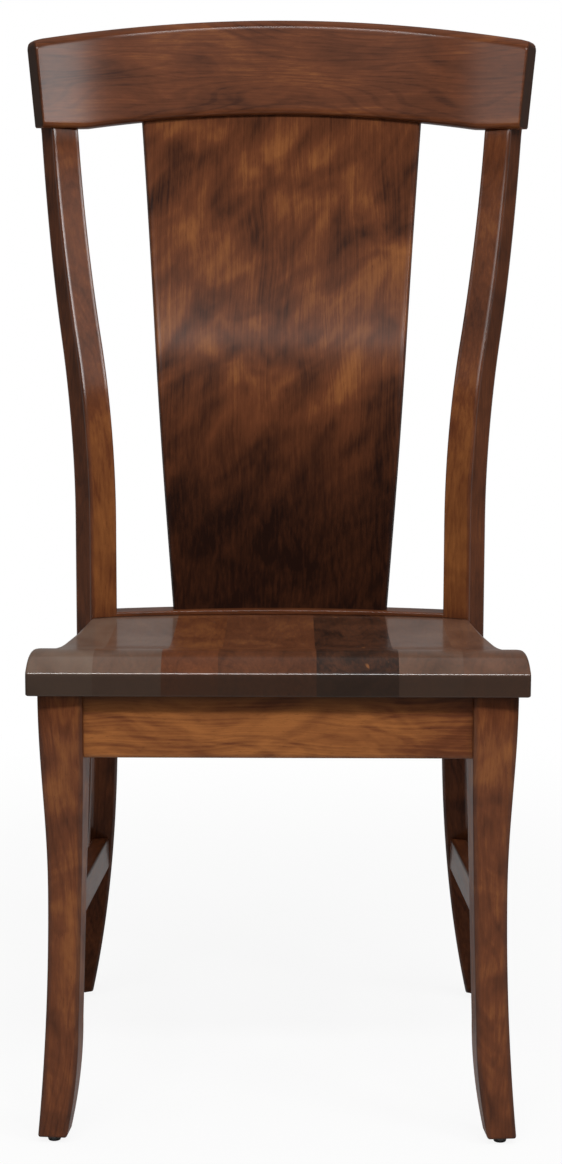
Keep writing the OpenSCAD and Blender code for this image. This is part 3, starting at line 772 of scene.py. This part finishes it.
def wood_group():
    """Stained wood: its colour, how rough it is, its relief and its share of coat."""
    sheet, given = open_group(
        "Stained wood",
        {VEC: ("Grain", "Wear", "Stretch"), COL: ("Light", "Middle", "Dark", "End", "Haze color"),
         NUM: ("Tone", "Clouds", "Lines", "Arris", "Coat", "Arris coat", "Specks", "Flames", "Haze")},
        {COL: ("Color",), NUM: ("Roughness", "Height", "Coat")})
    grain, dark = given["Grain"], given["Dark"]
    growth = sheet.add("ShaderNodeGroup", {"node_tree": growth_group()}, grain=grain,
                       lines_per_metre=420.0, pores=0.5).outputs
    figure = sheet.add("ShaderNodeGroup", {"node_tree": figure_group()}, grain=grain,
                       stretch=given["Stretch"]).outputs
    lines, clouds = growth["Lines"], figure["Clouds"]
    arris, end, _ = sheet.split(given["Wear"])

    cloud = sheet.times(sheet.minus(clouds, 0.5), given["Clouds"])
    line = sheet.times(sheet.spread(lines, 0.32, 0.68, -0.5, 0.5, "LINEAR"), given["Lines"])
    fleck = sheet.times(sheet.minus(figure["Flecks"], 0.5), FLECK_SHARE)
    flame = sheet.times(growth["Flames"], given["Flames"])
    shade = sheet.plus(sheet.plus(given["Tone"], cloud), line)
    shade = sheet.minus(sheet.plus(shade, fleck), flame, clamp=True)

    colour = sheet.blend(sheet.spread(shade, 0.0, 0.5, curve="LINEAR"), dark, given["Middle"])
    colour = sheet.blend(sheet.spread(shade, 0.5, 1.0, curve="LINEAR"), colour, given["Light"])
    knots = sheet.spread(sheet.noise(grain, (55.0, 90.0, 60.0), 7.7, 1.0), 0.72, 0.78)
    colour = sheet.blend(sheet.times(knots, given["Specks"]), colour, given["Light"])
    colour = sheet.blend(sheet.times(growth["Pores"], 0.8), colour, dark)
    # Painted sheen: a greyish reflection blended into the colour, a little stronger where the clouds
    # are light
    haze = sheet.times(given["Haze"], sheet.between(clouds, 0.7, 1.3))
    colour = sheet.blend(haze, colour, given["Haze color"])
    colour = sheet.blend(sheet.times(arris, given["Arris"]), colour, dark)
    # End grain colour where the end mask is set; on the apron and the leg heads that mask is the
    # seat's painted shadow
    colour = sheet.blend(sheet.times(end, sheet.between(clouds, 0.72, 0.95)), colour, given["End"])

    rough = sheet.plus(sheet.times(lines, 0.12), 0.36)
    relief = sheet.minus(sheet.times(lines, 0.4), growth["Pores"])
    coat = sheet.times(sheet.between(arris, given["Coat"], given["Arris coat"]),
                       sheet.between(end, 1.0, 0.25))
    return close_group(sheet, color=colour, roughness=rough, height=relief, coat=coat)


# Finishes


def rgba(colour, times=1.0):
    return (*(c * times for c in colour), 1.0)


def empty_sheet(owner):
    owner.use_nodes = True
    owner.node_tree.nodes.clear()
    return NodeSheet(owner.node_tree)


def new_finish(name):
    """A new material with its node sheet and its Principled shader."""
    material = bpy.data.materials.new(name)
    sheet = empty_sheet(material)
    shader = sheet.add("ShaderNodeBsdfPrincipled")
    sheet.add("ShaderNodeOutputMaterial", _0=shader.outputs[0])
    return material, sheet, shader


def stained_wood(name, tone, clouds, stretch, lines, coat, edge=1.0, arris=0.0, gloss=0.14,
                 flames=0.06, specks=0.0, haze=0.0, second=None):
    """Stained wood under clear lacquer, with a painted sheen where its share is given;
    second = (tone, clouds, lines) at the mesh's mask, which paints light and shade on some pieces.
    """
    if name in bpy.data.materials:
        return bpy.data.materials[name]
    look = bpy.context.scene.chair_finish
    tree = bpy.data.node_groups.get("Stained wood") or wood_group()
    material, sheet, shader = new_finish(name)
    grain = sheet.add("ShaderNodeAttribute", {"attribute_name": "grain"}).outputs["Vector"]
    wear = sheet.add("ShaderNodeAttribute", {"attribute_name": "wear"}).outputs["Vector"]
    if second:
        part = sheet.split(wear)[2]
        tone, clouds, lines = (sheet.between(part, a, b)
                               for a, b in zip((tone, clouds, lines), second))
    wood = sheet.add("ShaderNodeGroup", {"node_tree": tree}, grain=grain, wear=wear,
                     light=rgba(look.amber), middle=rgba(look.russet), dark=rgba(look.umber),
                     end=rgba(look.end_grain), tone=tone, clouds=clouds, stretch=stretch,
                     lines=lines, arris=arris, coat=coat * look.lacquer,
                     arris_coat=edge * look.lacquer, specks=specks, flames=flames, haze=haze,
                     haze_color=rgba(look.haze)).outputs
    bump = sheet.add("ShaderNodeBump", height=wood["Height"], strength=0.12, distance=0.0004)
    sheet.feed(shader, base_color=wood["Color"], roughness=wood["Roughness"],
               coat_weight=wood["Coat"], normal=bump.outputs[0], coat_roughness=gloss,
               specular_ior_level=0.02)
    return material


def plain_finish(name, colour, tones, marks, knee, rough, metal=0.0):
    """Two tones over fine marks; rough is one value, or two that follow the marks."""
    if name in bpy.data.materials:
        return bpy.data.materials[name]
    material, sheet, shader = new_finish(name)
    marked = sheet.noise(sheet.add("ShaderNodeTexCoord").outputs["Object"], *marks)
    low, high = (rgba(colour, tone) for tone in tones)
    if isinstance(rough, tuple):
        rough = sheet.spread(marked, 0.3, 0.7, *rough)
    sheet.feed(shader, base_color=sheet.blend(sheet.spread(marked, *knee), low, high),
               roughness=rough, metallic=metal)
    return material


# Pieces


def seat_ring(form, part, inner, outer, taper=0.0, side_in=0.0, edge_in=0.0):
    """A board's outline at one part of its width; side_in and edge_in round the seat's side."""
    seat = form.seat

    def across(y):
        return inner + (outer - taper * y - side_in - inner) * part

    rear = form.seat_rear(across(form.post_y)) - REAR_GAP
    lift = edge_in * UNDER_SHARE
    rows = []
    for k in range(UNDER_ROWS + 1):
        y = rear + (edge_in + UNDER_R - rear) * k / UNDER_ROWS
        rows.append((y, form.seat_base(y) + lift, 0.0, 0.0))
    for k in range(ROUND_ROWS + 1):
        a = pi / 2 * k / ROUND_ROWS
        low = form.seat_base(edge_in) + lift + UNDER_R * (1 - cos(a))
        rows.append((edge_in + UNDER_R * (1 - sin(a)), low, 1.0, SEAT_END))
    high = form.seat_top(edge_in) - edge_in - ARRIS_R * tan(ARRIS_TURN / 2)
    rows += [(edge_in, low + (high - low) * s, 0.0, SEAT_END) for s in FACE_ROWS]
    for k in range(ROUND_ROWS + 1):
        a = ARRIS_TURN * k / ROUND_ROWS
        end = SEAT_END if 2 * k <= ROUND_ROWS else 0.0
        rows.append((edge_in + ARRIS_R * (1 - cos(a)), high + ARRIS_R * sin(a), 1.0, end))
    start, past = rows[-1][0] + ROLL_START, seat.ridge_y + RIDGE_PAST
    first, second, third = TOP_ROWS
    marks = [start + (past - start) * (k / first) ** CROWDING for k in range(first + 1)]
    marks += [past + (seat.scoop_y - seat.ridge_y) * k / second for k in range(1, second + 1)]
    marks += [marks[-1] + (rear - marks[-1]) * k / third for k in range(1, third)]
    marks = [y for y in marks if y < rear - TINY] + [rear]
    rows += [(y, form.seat_top(y) - edge_in, 0.0, 0.0) for y in marks]
    # The second tone, painted shade, covers the front face and the roll
    return [Spot((across(y), y, z), (y, across(y), z), mask, end,
                 ease(y, SEAT_SHADE_FALL, seat.ridge_y, 1, 0)) for y, z, mask, end in rows]


class CHAIR_OT_seat(Operator):
    """Build the seven glued boards of the scooped seat"""

    bl_idname = "chair.seat"
    bl_label = "Seat boards"

    def execute(self, context):
        form = Shape(context.scene)
        seat = form.seat
        half = seat.width / 2
        inner = half - seat.outer_w
        edges = [-inner]
        for width in (seat.second_w, seat.third_w, seat.middle_w, seat.fifth_w):
            edges.append(edges[-1] + width)
        edges.append(inner)
        side = [seat_ring(form, k / OUTER_STEPS, inner, half, form.side_x)
                for k in range(OUTER_STEPS)]
        for k in range(SIDE_STEPS + 1):
            a = pi / 2 * k / SIDE_STEPS
            side.append(seat_ring(form, 1.0, inner, half, form.side_x,
                                  seat.side_r * (1 - sin(a)), seat.side_r * (1 - cos(a))))
        for i, (tone, haze, coat) in enumerate(SEAT_BOARDS):
            rings = side
            if 0 < i < len(SEAT_BOARDS) - 1:
                rings = [seat_ring(form, k / BOARD_STEPS, edges[i - 1], edges[i])
                         for k in range(BOARD_STEPS + 1)]
            wood = stained_wood("seat_wood_%d" % (i + 1), tone=tone, clouds=0.26, lines=0.1,
                                stretch=(14.0, 30.0, 30.0), coat=coat, flames=0.05,
                                specks=0.6 if i == SPECKED_BOARD else 0.0, haze=haze,
                                second=(max(tone - FRONT_SHADE, LEAST_TONE), 0.26, 0.1))
            add_piece("seat_board_%d" % (i + 1), "board_%d" % (i + 1), rings, wood,
                      i == 0, i * PLANK_STEP)
        return {"FINISHED"}


class CHAIR_OT_crest(Operator):
    """Build the arched crest rail with its rounded top edge"""

    bl_idname = "chair.crest"
    bl_label = "Crest rail"

    def execute(self, context):
        form = Shape(context.scene)
        crest = form.crest
        turn_of = 1 / (form.crest_r + form.crest_th / 2)
        stops = []
        for angle, inset, end in stations(-crest.half, crest.half, CREST_STOPS, CREST_END):
            if inset:
                limit = crest.half - abs(abs(angle) - crest.half) * turn_of
                angle = limit if angle > 0 else -limit
            stops.append((angle, inset, end))

        def section(angle):
            distance = max((crest.half - abs(angle)) / turn_of, 0)
            over = arc_drop(crest.corner, max(crest.corner - distance, 0))
            corners = []
            for surface, behind, fall in ((form.crest_low, 0, 0), (form.crest_low, form.crest_th, 0),
                                          (form.crest_high, form.crest_th, over),
                                          (form.crest_high, 0, over)):
                r, z = form.crest_corner(angle, surface, behind)
                corners.append((r, z - fall))
            return corners

        def spot(angle, r, z, mask, end):
            return Spot(around(form.axis_y, r, angle, z), (r * angle, z, r), mask, end)

        rings = sweep(stops, section, (*CREST_EDGES, crest.top_round), spot, steps=CREST_ROUND,
                      sides=CREST_SIDES)
        wood = stained_wood("crest_wood", tone=0.455, clouds=0.38, stretch=(7.0, 26.0, 26.0),
                            lines=0.16, coat=0.32, gloss=0.165, edge=0.28, flames=0.09)
        add_piece("crest_rail", "crest", rings, wood, plank=1.3)
        return {"FINISHED"}


class CHAIR_OT_splat(Operator):
    """Build the wide bent splat"""

    bl_idname = "chair.splat"
    bl_label = "Splat"

    def execute(self, context):
        form = Shape(context.scene)
        back = form.back
        low, high = form.rail_top - back.groove * GROOVE_SHARE, form.crest_z + SPLAT_BITE
        rise = form.crest_z - form.rail_top

        def face_r(z):
            return back.plan_r + SPLAT_IN + form.post_travel(z)

        def section(z):
            r = face_r(z)
            part = (z - form.rail_top) / rise
            wide = (back.splat_low + (back.splat_top - back.splat_low) * part) / 2
            reach = r * asin(wide / r)
            return oblong(-reach, reach, 0, back.splat_t)

        def spot(z, s, n, mask, end):
            r = face_r(z)
            # Lighter from the bend up, partly the wood's own tone and partly painted light; darker
            # under the crest rail by painted shadow
            light = (ease(z, *SPLAT_LIT_RISE, 0, 1)
                     * ease(z, high - SPLAT_CREST_SHADOW[0], high - SPLAT_CREST_SHADOW[1], 1, SPLAT_SHADOW_LEFT))
            return Spot(around(form.axis_y, r + n, s / r, z), (z - SPLAT_SLANT * s, s, n), mask,
                        end, light)

        rings = sweep(stations(low, high, SPLAT_STOPS, SPLAT_END), section, (SPLAT_EDGE,) * 4,
                      spot, sides=SPLAT_SIDES)
        # The dark first tone low down is partly the wood's own tone and partly painted shade
        wood = stained_wood("splat_wood", tone=0.07, clouds=0.14, stretch=(20.0, 21.0, 14.0),
                            lines=0.045, coat=0.15, gloss=0.22, edge=0.4, flames=0.03,
                            second=(0.49, 0.72, 0.21))
        add_piece("back_splat", "splat", rings, wood)
        return {"FINISHED"}


class CHAIR_OT_posts(Operator):
    """Build the two back posts, each sawn in one piece with its rear leg"""

    bl_idname = "chair.posts"
    bl_label = "Back posts"

    def execute(self, context):
        form = Shape(context.scene)
        wide = form.back.width

        def section(z):
            front = form.post_travel(z)
            rear = front + form.post_depth(z)
            return (wide, front), (wide, rear), (0, rear), (0, front)

        def spot(z, a, b, mask, end):
            place = form.post_place(a, b, z)
            if z > form.crest_z - POST_TOP:
                place.z = min(place.z, form.crest_low(place.x, place.y) + JOINT_LAP)
            # Painted light and shade: the front face is lighter from the seat up to the bend, while
            # the outer face, the top and the rear leg stay darker
            light = (ease(a, wide - POST_SHADE_SIDE, wide, 1, POST_SIDE_LEFT)
                     * ease(z, *POST_LIT_RISE, 0, 1) * ease(z, *POST_LIT_FALL, 1, POST_LIT_LEFT))
            return Spot(place, (z, a, b), mask, end if z < FOOT_ZONE else 0.0, light)

        stops = stations(form.legs.glide_h, form.crest_z + POST_BITE, POST_STOPS,
                         form.legs.foot_round * POST_END_SHARE)
        rings = sweep(stops, section, POST_EDGES, spot)
        # The dark first tone is painted shade on the rear legs and outer faces, the light second tone
        # painted light
        wood = stained_wood("post_wood", tone=0.26, clouds=0.24, stretch=(20.0, 24.0, 16.0),
                            lines=0.14, coat=0.06, second=(0.72, 0.42, 0.14))
        add_pair("back_post", "post", rings, wood, (0.8, 1.9))
        return {"FINISHED"}


class CHAIR_OT_rear_rail(Operator):
    """Build the curved rail behind the seat"""

    bl_idname = "chair.rear_rail"
    bl_label = "Rear rail"

    def execute(self, context):
        form = Shape(context.scene)
        back = form.back
        corners = oblong(0, back.rail_t, form.rail_top - back.rail_h, form.rail_top)

        def end_angle(r):
            slope = form.rear.x / form.rear.y
            angle = form.post_x / r
            for _ in range(TRIES):
                y = form.rail_cy + r * cos(angle)
                x = form.post_x + (y - form.post_y) * slope + JOINT_LAP
                angle = asin(x / r)
            return angle

        def spot(part, n, z, mask, end):
            r = back.rail_r + n
            angle = end_angle(r) * part
            return Spot(around(form.rail_cy, r, angle, z), (r * angle, z, n), mask)

        stops = stations(-1.0, 1.0, RAIL_STOPS)
        rings = sweep(stops, lambda part: corners, RAIL_EDGES, spot)
        wood = stained_wood("rail_wood", tone=0.42, clouds=0.3, stretch=(12.0, 20.0, 20.0),
                            lines=0.16, coat=0.4, edge=0.45)
        add_piece("rear_rail", "seat_rail", rings, wood, plank=3.7)
        return {"FINISHED"}


class CHAIR_OT_legs(Operator):
    """Build the two sabre front legs"""

    bl_idname = "chair.legs"
    bl_label = "Front legs"

    def execute(self, context):
        form = Shape(context.scene)
        legs = form.legs

        def section(z):
            outside, inside = form.leg_outside(z), form.leg_inside(z)
            return oblong(-inside, -outside, outside, inside)

        def spot(z, x, y, mask, end):
            place = form.leg_place(x, y, z)
            place.z = min(place.z, form.seat_base(place.y))
            # Painted shadow of the seat on the leg's head, drawn with the end grain colour
            seat_shadow = LEG_SHADE * ease(z, form.base - LEG_SHADOW_SPAN[0], form.base - LEG_SHADOW_SPAN[1], 0, 1)
            return Spot(place, (z, x, y), mask, end if z < FOOT_ZONE else seat_shadow,
                        ease(z, *LEG_FALL, 1, 0))

        stops = stations(legs.glide_h, form.base, LEG_STOPS, legs.foot_round)
        rings = sweep(stops, section, (legs.arris,) * 4, spot)
        wood = stained_wood("leg_wood", tone=0.53, clouds=0.38, stretch=(27.0, 38.0, 38.0),
                            lines=0.13, arris=0.4, coat=0.2, edge=0.35, flames=0.08,
                            second=(0.44, 0.38, 0.13))
        add_pair("front_leg", "front_sabre_leg", rings, wood, (4.4, 5.9))
        return {"FINISHED"}


def bar_rings(form, out, z, fall, thick, high, past, under_seat=False):
    """Rings of a straight side bar from front leg to post, tilted down to the rear by fall."""
    half = form.legs.width / 2
    a = Vector((form.leg_x - half + out[0], form.leg_y + half, 0))
    b = Vector((form.mid_x + out[1], form.mid_y + POST_IN, 0))
    way = (b - a).normalized()
    side = Vector((way.y, -way.x, 0))
    corners = oblong(-thick / 2, thick / 2, -high, 0)

    def spot(s, u, v, mask, _):
        place = a + way * (s + v * sin(fall)) + side * u
        place.z = z - s * sin(fall) / cos(fall) + v * cos(fall)
        if under_seat:
            place.z = min(place.z, form.seat_base(place.y))
        return Spot(place, (s, v, u), mask)

    stops = stations(BAR_START, (b - a).length + past, BAR_STOPS)
    return sweep(stops, lambda s: corners, (BAR_EDGE,) * 4, spot)


class CHAIR_OT_aprons(Operator):
    """Build the front apron and the two side aprons"""

    bl_idname = "chair.aprons"
    bl_label = "Aprons"

    def execute(self, context):
        form = Shape(context.scene)
        legs = form.legs
        corners = oblong(form.apron_y, form.apron_y + legs.apron_t, form.base - legs.apron_h,
                         form.base)

        def spot(x, y, z, mask, end):
            # Painted shadow of the seat across the apron's top, drawn with the end grain colour
            seat_shadow = ease(z, form.base - APRON_SHADOW_SPAN[0], form.base - APRON_SHADOW_SPAN[1], 0, APRON_SHADE)
            return Spot((x, y, min(z, form.seat_base(y))), (x, z, y), mask, seat_shadow,
                        ease(x, *APRON_RISE, 0, 1))

        reach = form.apron_in + APRON_BITE
        stops = stations(-reach, reach, APRON_STOPS)
        rings = sweep(stops, lambda x: corners, APRON_EDGES, spot, sides=APRON_SIDES)
        wood = stained_wood("apron_wood", tone=0.87, clouds=0.42, stretch=(20.0, 55.0, 30.0),
                            lines=0.26, flames=0.12, arris=0.4, coat=0.25, edge=0.3,
                            second=(0.66, 0.5, 0.26))
        add_piece("front_apron", "apron_front", rings, wood, plank=6.6)
        rings = bar_rings(form, APRON_OUT, form.base + APRON_SPARE, form.seat.slope, legs.apron_t,
                          legs.side_h + APRON_SPARE, JOINT_LAP, under_seat=True)
        wood = stained_wood("side_apron_wood", tone=0.45, clouds=0.3, stretch=(8.0, 24.0, 24.0),
                            lines=0.2, arris=0.3, coat=0.25, edge=0.3)
        add_pair("apron", "side_apron", rings, wood, (7.2, 8.5))
        return {"FINISHED"}


class CHAIR_OT_stretchers(Operator):
    """Build the two side stretchers"""

    bl_idname = "chair.stretchers"
    bl_label = "Stretchers"

    def execute(self, context):
        form = Shape(context.scene)
        legs = form.legs
        rings = bar_rings(form, STRETCHER_OUT, legs.bar_z, legs.bar_fall, legs.bar_t, legs.bar_h,
                          STRETCHER_PAST)
        wood = stained_wood("stretcher_wood", tone=0.45, clouds=0.3, stretch=(9.0, 24.0, 24.0),
                            lines=0.2, arris=0.3, coat=0.28, edge=0.28)
        add_pair("stretcher", "stretcher_bar", rings, wood, (9.1, 9.9))
        return {"FINISHED"}


class CHAIR_OT_glides(Operator):
    """Build the four nail-on glides"""

    bl_idname = "chair.glides"
    bl_label = "Glides"

    def execute(self, context):
        form = Shape(context.scene)
        legs = form.legs
        low, top, high = legs.glide_low / 2, legs.glide_top / 2, legs.glide_h
        outline = list(GLIDE_DISH)
        outline += [(low + r, z) for r, z in GLIDE_SOLE]
        outline += [(top + r, high + z) for r, z in GLIDE_TOP]
        outline += [(top * GLIDE_RING, high), (GLIDE_DISH[0][0], high)]
        turns = [2 * pi * k / GLIDE_STOPS for k in range(GLIDE_STOPS)]
        nylon = plain_finish("glide_nylon", context.scene.chair_finish.nylon, (1.0, 3.0),
                             ((700.0, 700.0, 1500.0), 6.0, 3.0), (0.5, 0.8), (0.42, 0.62))
        for foot, x, y in (("front", *form.front_foot), ("rear", *form.rear_foot)):
            rings = [[Spot((x + r * cos(a), y + r * sin(a), z), (z, r, 0.0)) for a in turns]
                     for r, z in outline]
            add_pair(foot + "_glide", foot + "_glide_pad", rings, nylon)
        return {"FINISHED"}


class CHAIR_OT_fixings(Operator):
    """Finish the corner blocks, dowels, screws and nails of the packed frame"""

    bl_idname = "chair.fixings"
    bl_label = "Blocks and fixings"

    def execute(self, context):
        look = context.scene.chair_finish
        bare = plain_finish("bare_block_wood", look.bare, (0.62, 1.0),
                            ((14.0, 380.0, 380.0), 2.0, 3.0, 0.6), (0.3, 0.7), 0.7)
        steel = plain_finish("nail_steel", look.steel, (0.6, 1.0), ((900.0, 900.0, 60.0), 4.0),
                             (0.4, 0.65), (0.28, 0.5), metal=1.0)
        for place in ("left_front", "right_front", "left_rear", "right_rear"):
            dress_node(place + "_block", bare, bevel=0.001)
        dress_node("crest_dowels", bare)
        dress_node("seat_screws", steel)
        dress_node("glide_nails", steel)
        return {"FINISHED"}


# Stage


class CHAIR_OT_stage(Operator):
    """Set the pale floor, the soft lamps and the camera"""

    bl_idname = "chair.stage"
    bl_label = "Stage"

    def execute(self, context):
        scene = context.scene
        stage = scene.chair_stage
        self.build_floor(stage)
        self.build_world(scene, stage)
        for lamp in LAMPS:
            self.build_lamp(*lamp)
        self.place_camera(scene, stage)
        scene.view_settings.view_transform = "Standard"
        return {"FINISHED"}

    def build_lamp(self, name, place, aim_z, size, power):
        data = bpy.data.lights.new(name, "AREA")
        data.shape, data.size, data.size_y = "RECTANGLE", *size
        data.energy = power
        light = add_object(name, data)
        light.location = place
        way = Vector((0, 0, aim_z)) - Vector(place)
        light.rotation_euler = way.to_track_quat("-Z", "Y").to_euler()

    def build_floor(self, stage):
        bm = bmesh.new()
        bmesh.ops.create_circle(bm, cap_ends=True, segments=96, radius=stage.floor_r)
        floor = add_mesh("floor", bm)
        material = bpy.data.materials.new("floor_paper")
        floor.data.materials.append(material)
        sheet = empty_sheet(material)
        paper = sheet.add("ShaderNodeBsdfDiffuse", color=rgba(stage.paper))
        white = sheet.add("ShaderNodeEmission", color=(1, 1, 1, 1), strength=1.0)
        place = sheet.add("ShaderNodeTexCoord").outputs["Object"]
        away = sheet.add("ShaderNodeVectorMath", {"operation": "LENGTH"}, _0=place)
        edge = sheet.spread(away.outputs["Value"], FLOOR_FADE[0] * stage.floor_r,
                            FLOOR_FADE[1] * stage.floor_r, FLOOR_LEAST)
        seen = sheet.add("ShaderNodeLightPath").outputs["Is Camera Ray"]
        mixed = sheet.add("ShaderNodeMixShader", _0=sheet.times(seen, edge), _1=paper.outputs[0],
                          _2=white.outputs[0])
        sheet.add("ShaderNodeOutputMaterial", _0=mixed.outputs[0])

    def build_world(self, scene, stage):
        scene.world = bpy.data.worlds.new("studio")
        sheet = empty_sheet(scene.world)
        ahead = sheet.split(sheet.add("ShaderNodeTexCoord").outputs["Generated"])[1]
        glow = sheet.spread(ahead, *GLOW_TURN, stage.front_glow, stage.back_glow)
        seen = sheet.add("ShaderNodeLightPath").outputs["Is Camera Ray"]
        back = sheet.add("ShaderNodeBackground", color=(1, 1, 1, 1),
                         strength=sheet.between(seen, glow, 1.0))
        sheet.add("ShaderNodeOutputWorld", _0=back.outputs[0])

    def place_camera(self, scene, stage):
        data = bpy.data.cameras.new("photo_camera")
        data.sensor_width = 36.0
        data.lens = stage.focal_px / stage.frame_px * data.sensor_width
        data.clip_end = 100.0
        scene.camera = add_object("photo_camera", data)
        place = Vector((stage.side, FRONT - stage.distance, stage.height))
        turned = (Matrix.Rotation(stage.pan, 4, "Z") @ Matrix.Rotation(pi / 2 - stage.pitch, 4, "X")
                  @ Matrix.Rotation(stage.roll, 4, "Z"))
        scene.camera.matrix_world = Matrix.Translation(place) @ turned


OPERATORS = (CHAIR_OT_seat, CHAIR_OT_crest, CHAIR_OT_splat, CHAIR_OT_posts, CHAIR_OT_rear_rail,
             CHAIR_OT_legs, CHAIR_OT_aprons, CHAIR_OT_stretchers, CHAIR_OT_glides,
             CHAIR_OT_fixings, CHAIR_OT_stage)


class CHAIR_PT_panel(Panel):
    """Sizes, finish and building steps of the chair"""

    bl_label = "Side Chair"
    bl_space_type = "VIEW_3D"
    bl_region_type = "UI"
    bl_category = "Chair"

    def draw(self, context):
        for key, kind in GROUPS.items():
            box = self.layout.box()
            box.label(text=kind.__doc__)
            for name in kind.__annotations__:
                box.prop(getattr(context.scene, key), name)
        for kind in OPERATORS:
            self.layout.operator(kind.bl_idname)


def register():
    for key, kind in GROUPS.items():
        bpy.utils.register_class(kind)
        setattr(bpy.types.Scene, key, PointerProperty(type=kind))
    for kind in OPERATORS + (CHAIR_PT_panel,):
        bpy.utils.register_class(kind)


def unregister():
    for kind in reversed(OPERATORS + (CHAIR_PT_panel,)):
        bpy.utils.unregister_class(kind)
    for key, kind in GROUPS.items():
        delattr(bpy.types.Scene, key)
        bpy.utils.unregister_class(kind)


def main():
    register()
    for kind in OPERATORS:
        area, name = kind.bl_idname.split(".")
        getattr(getattr(bpy.ops, area), name)()


if __name__ == "__main__":
    main()
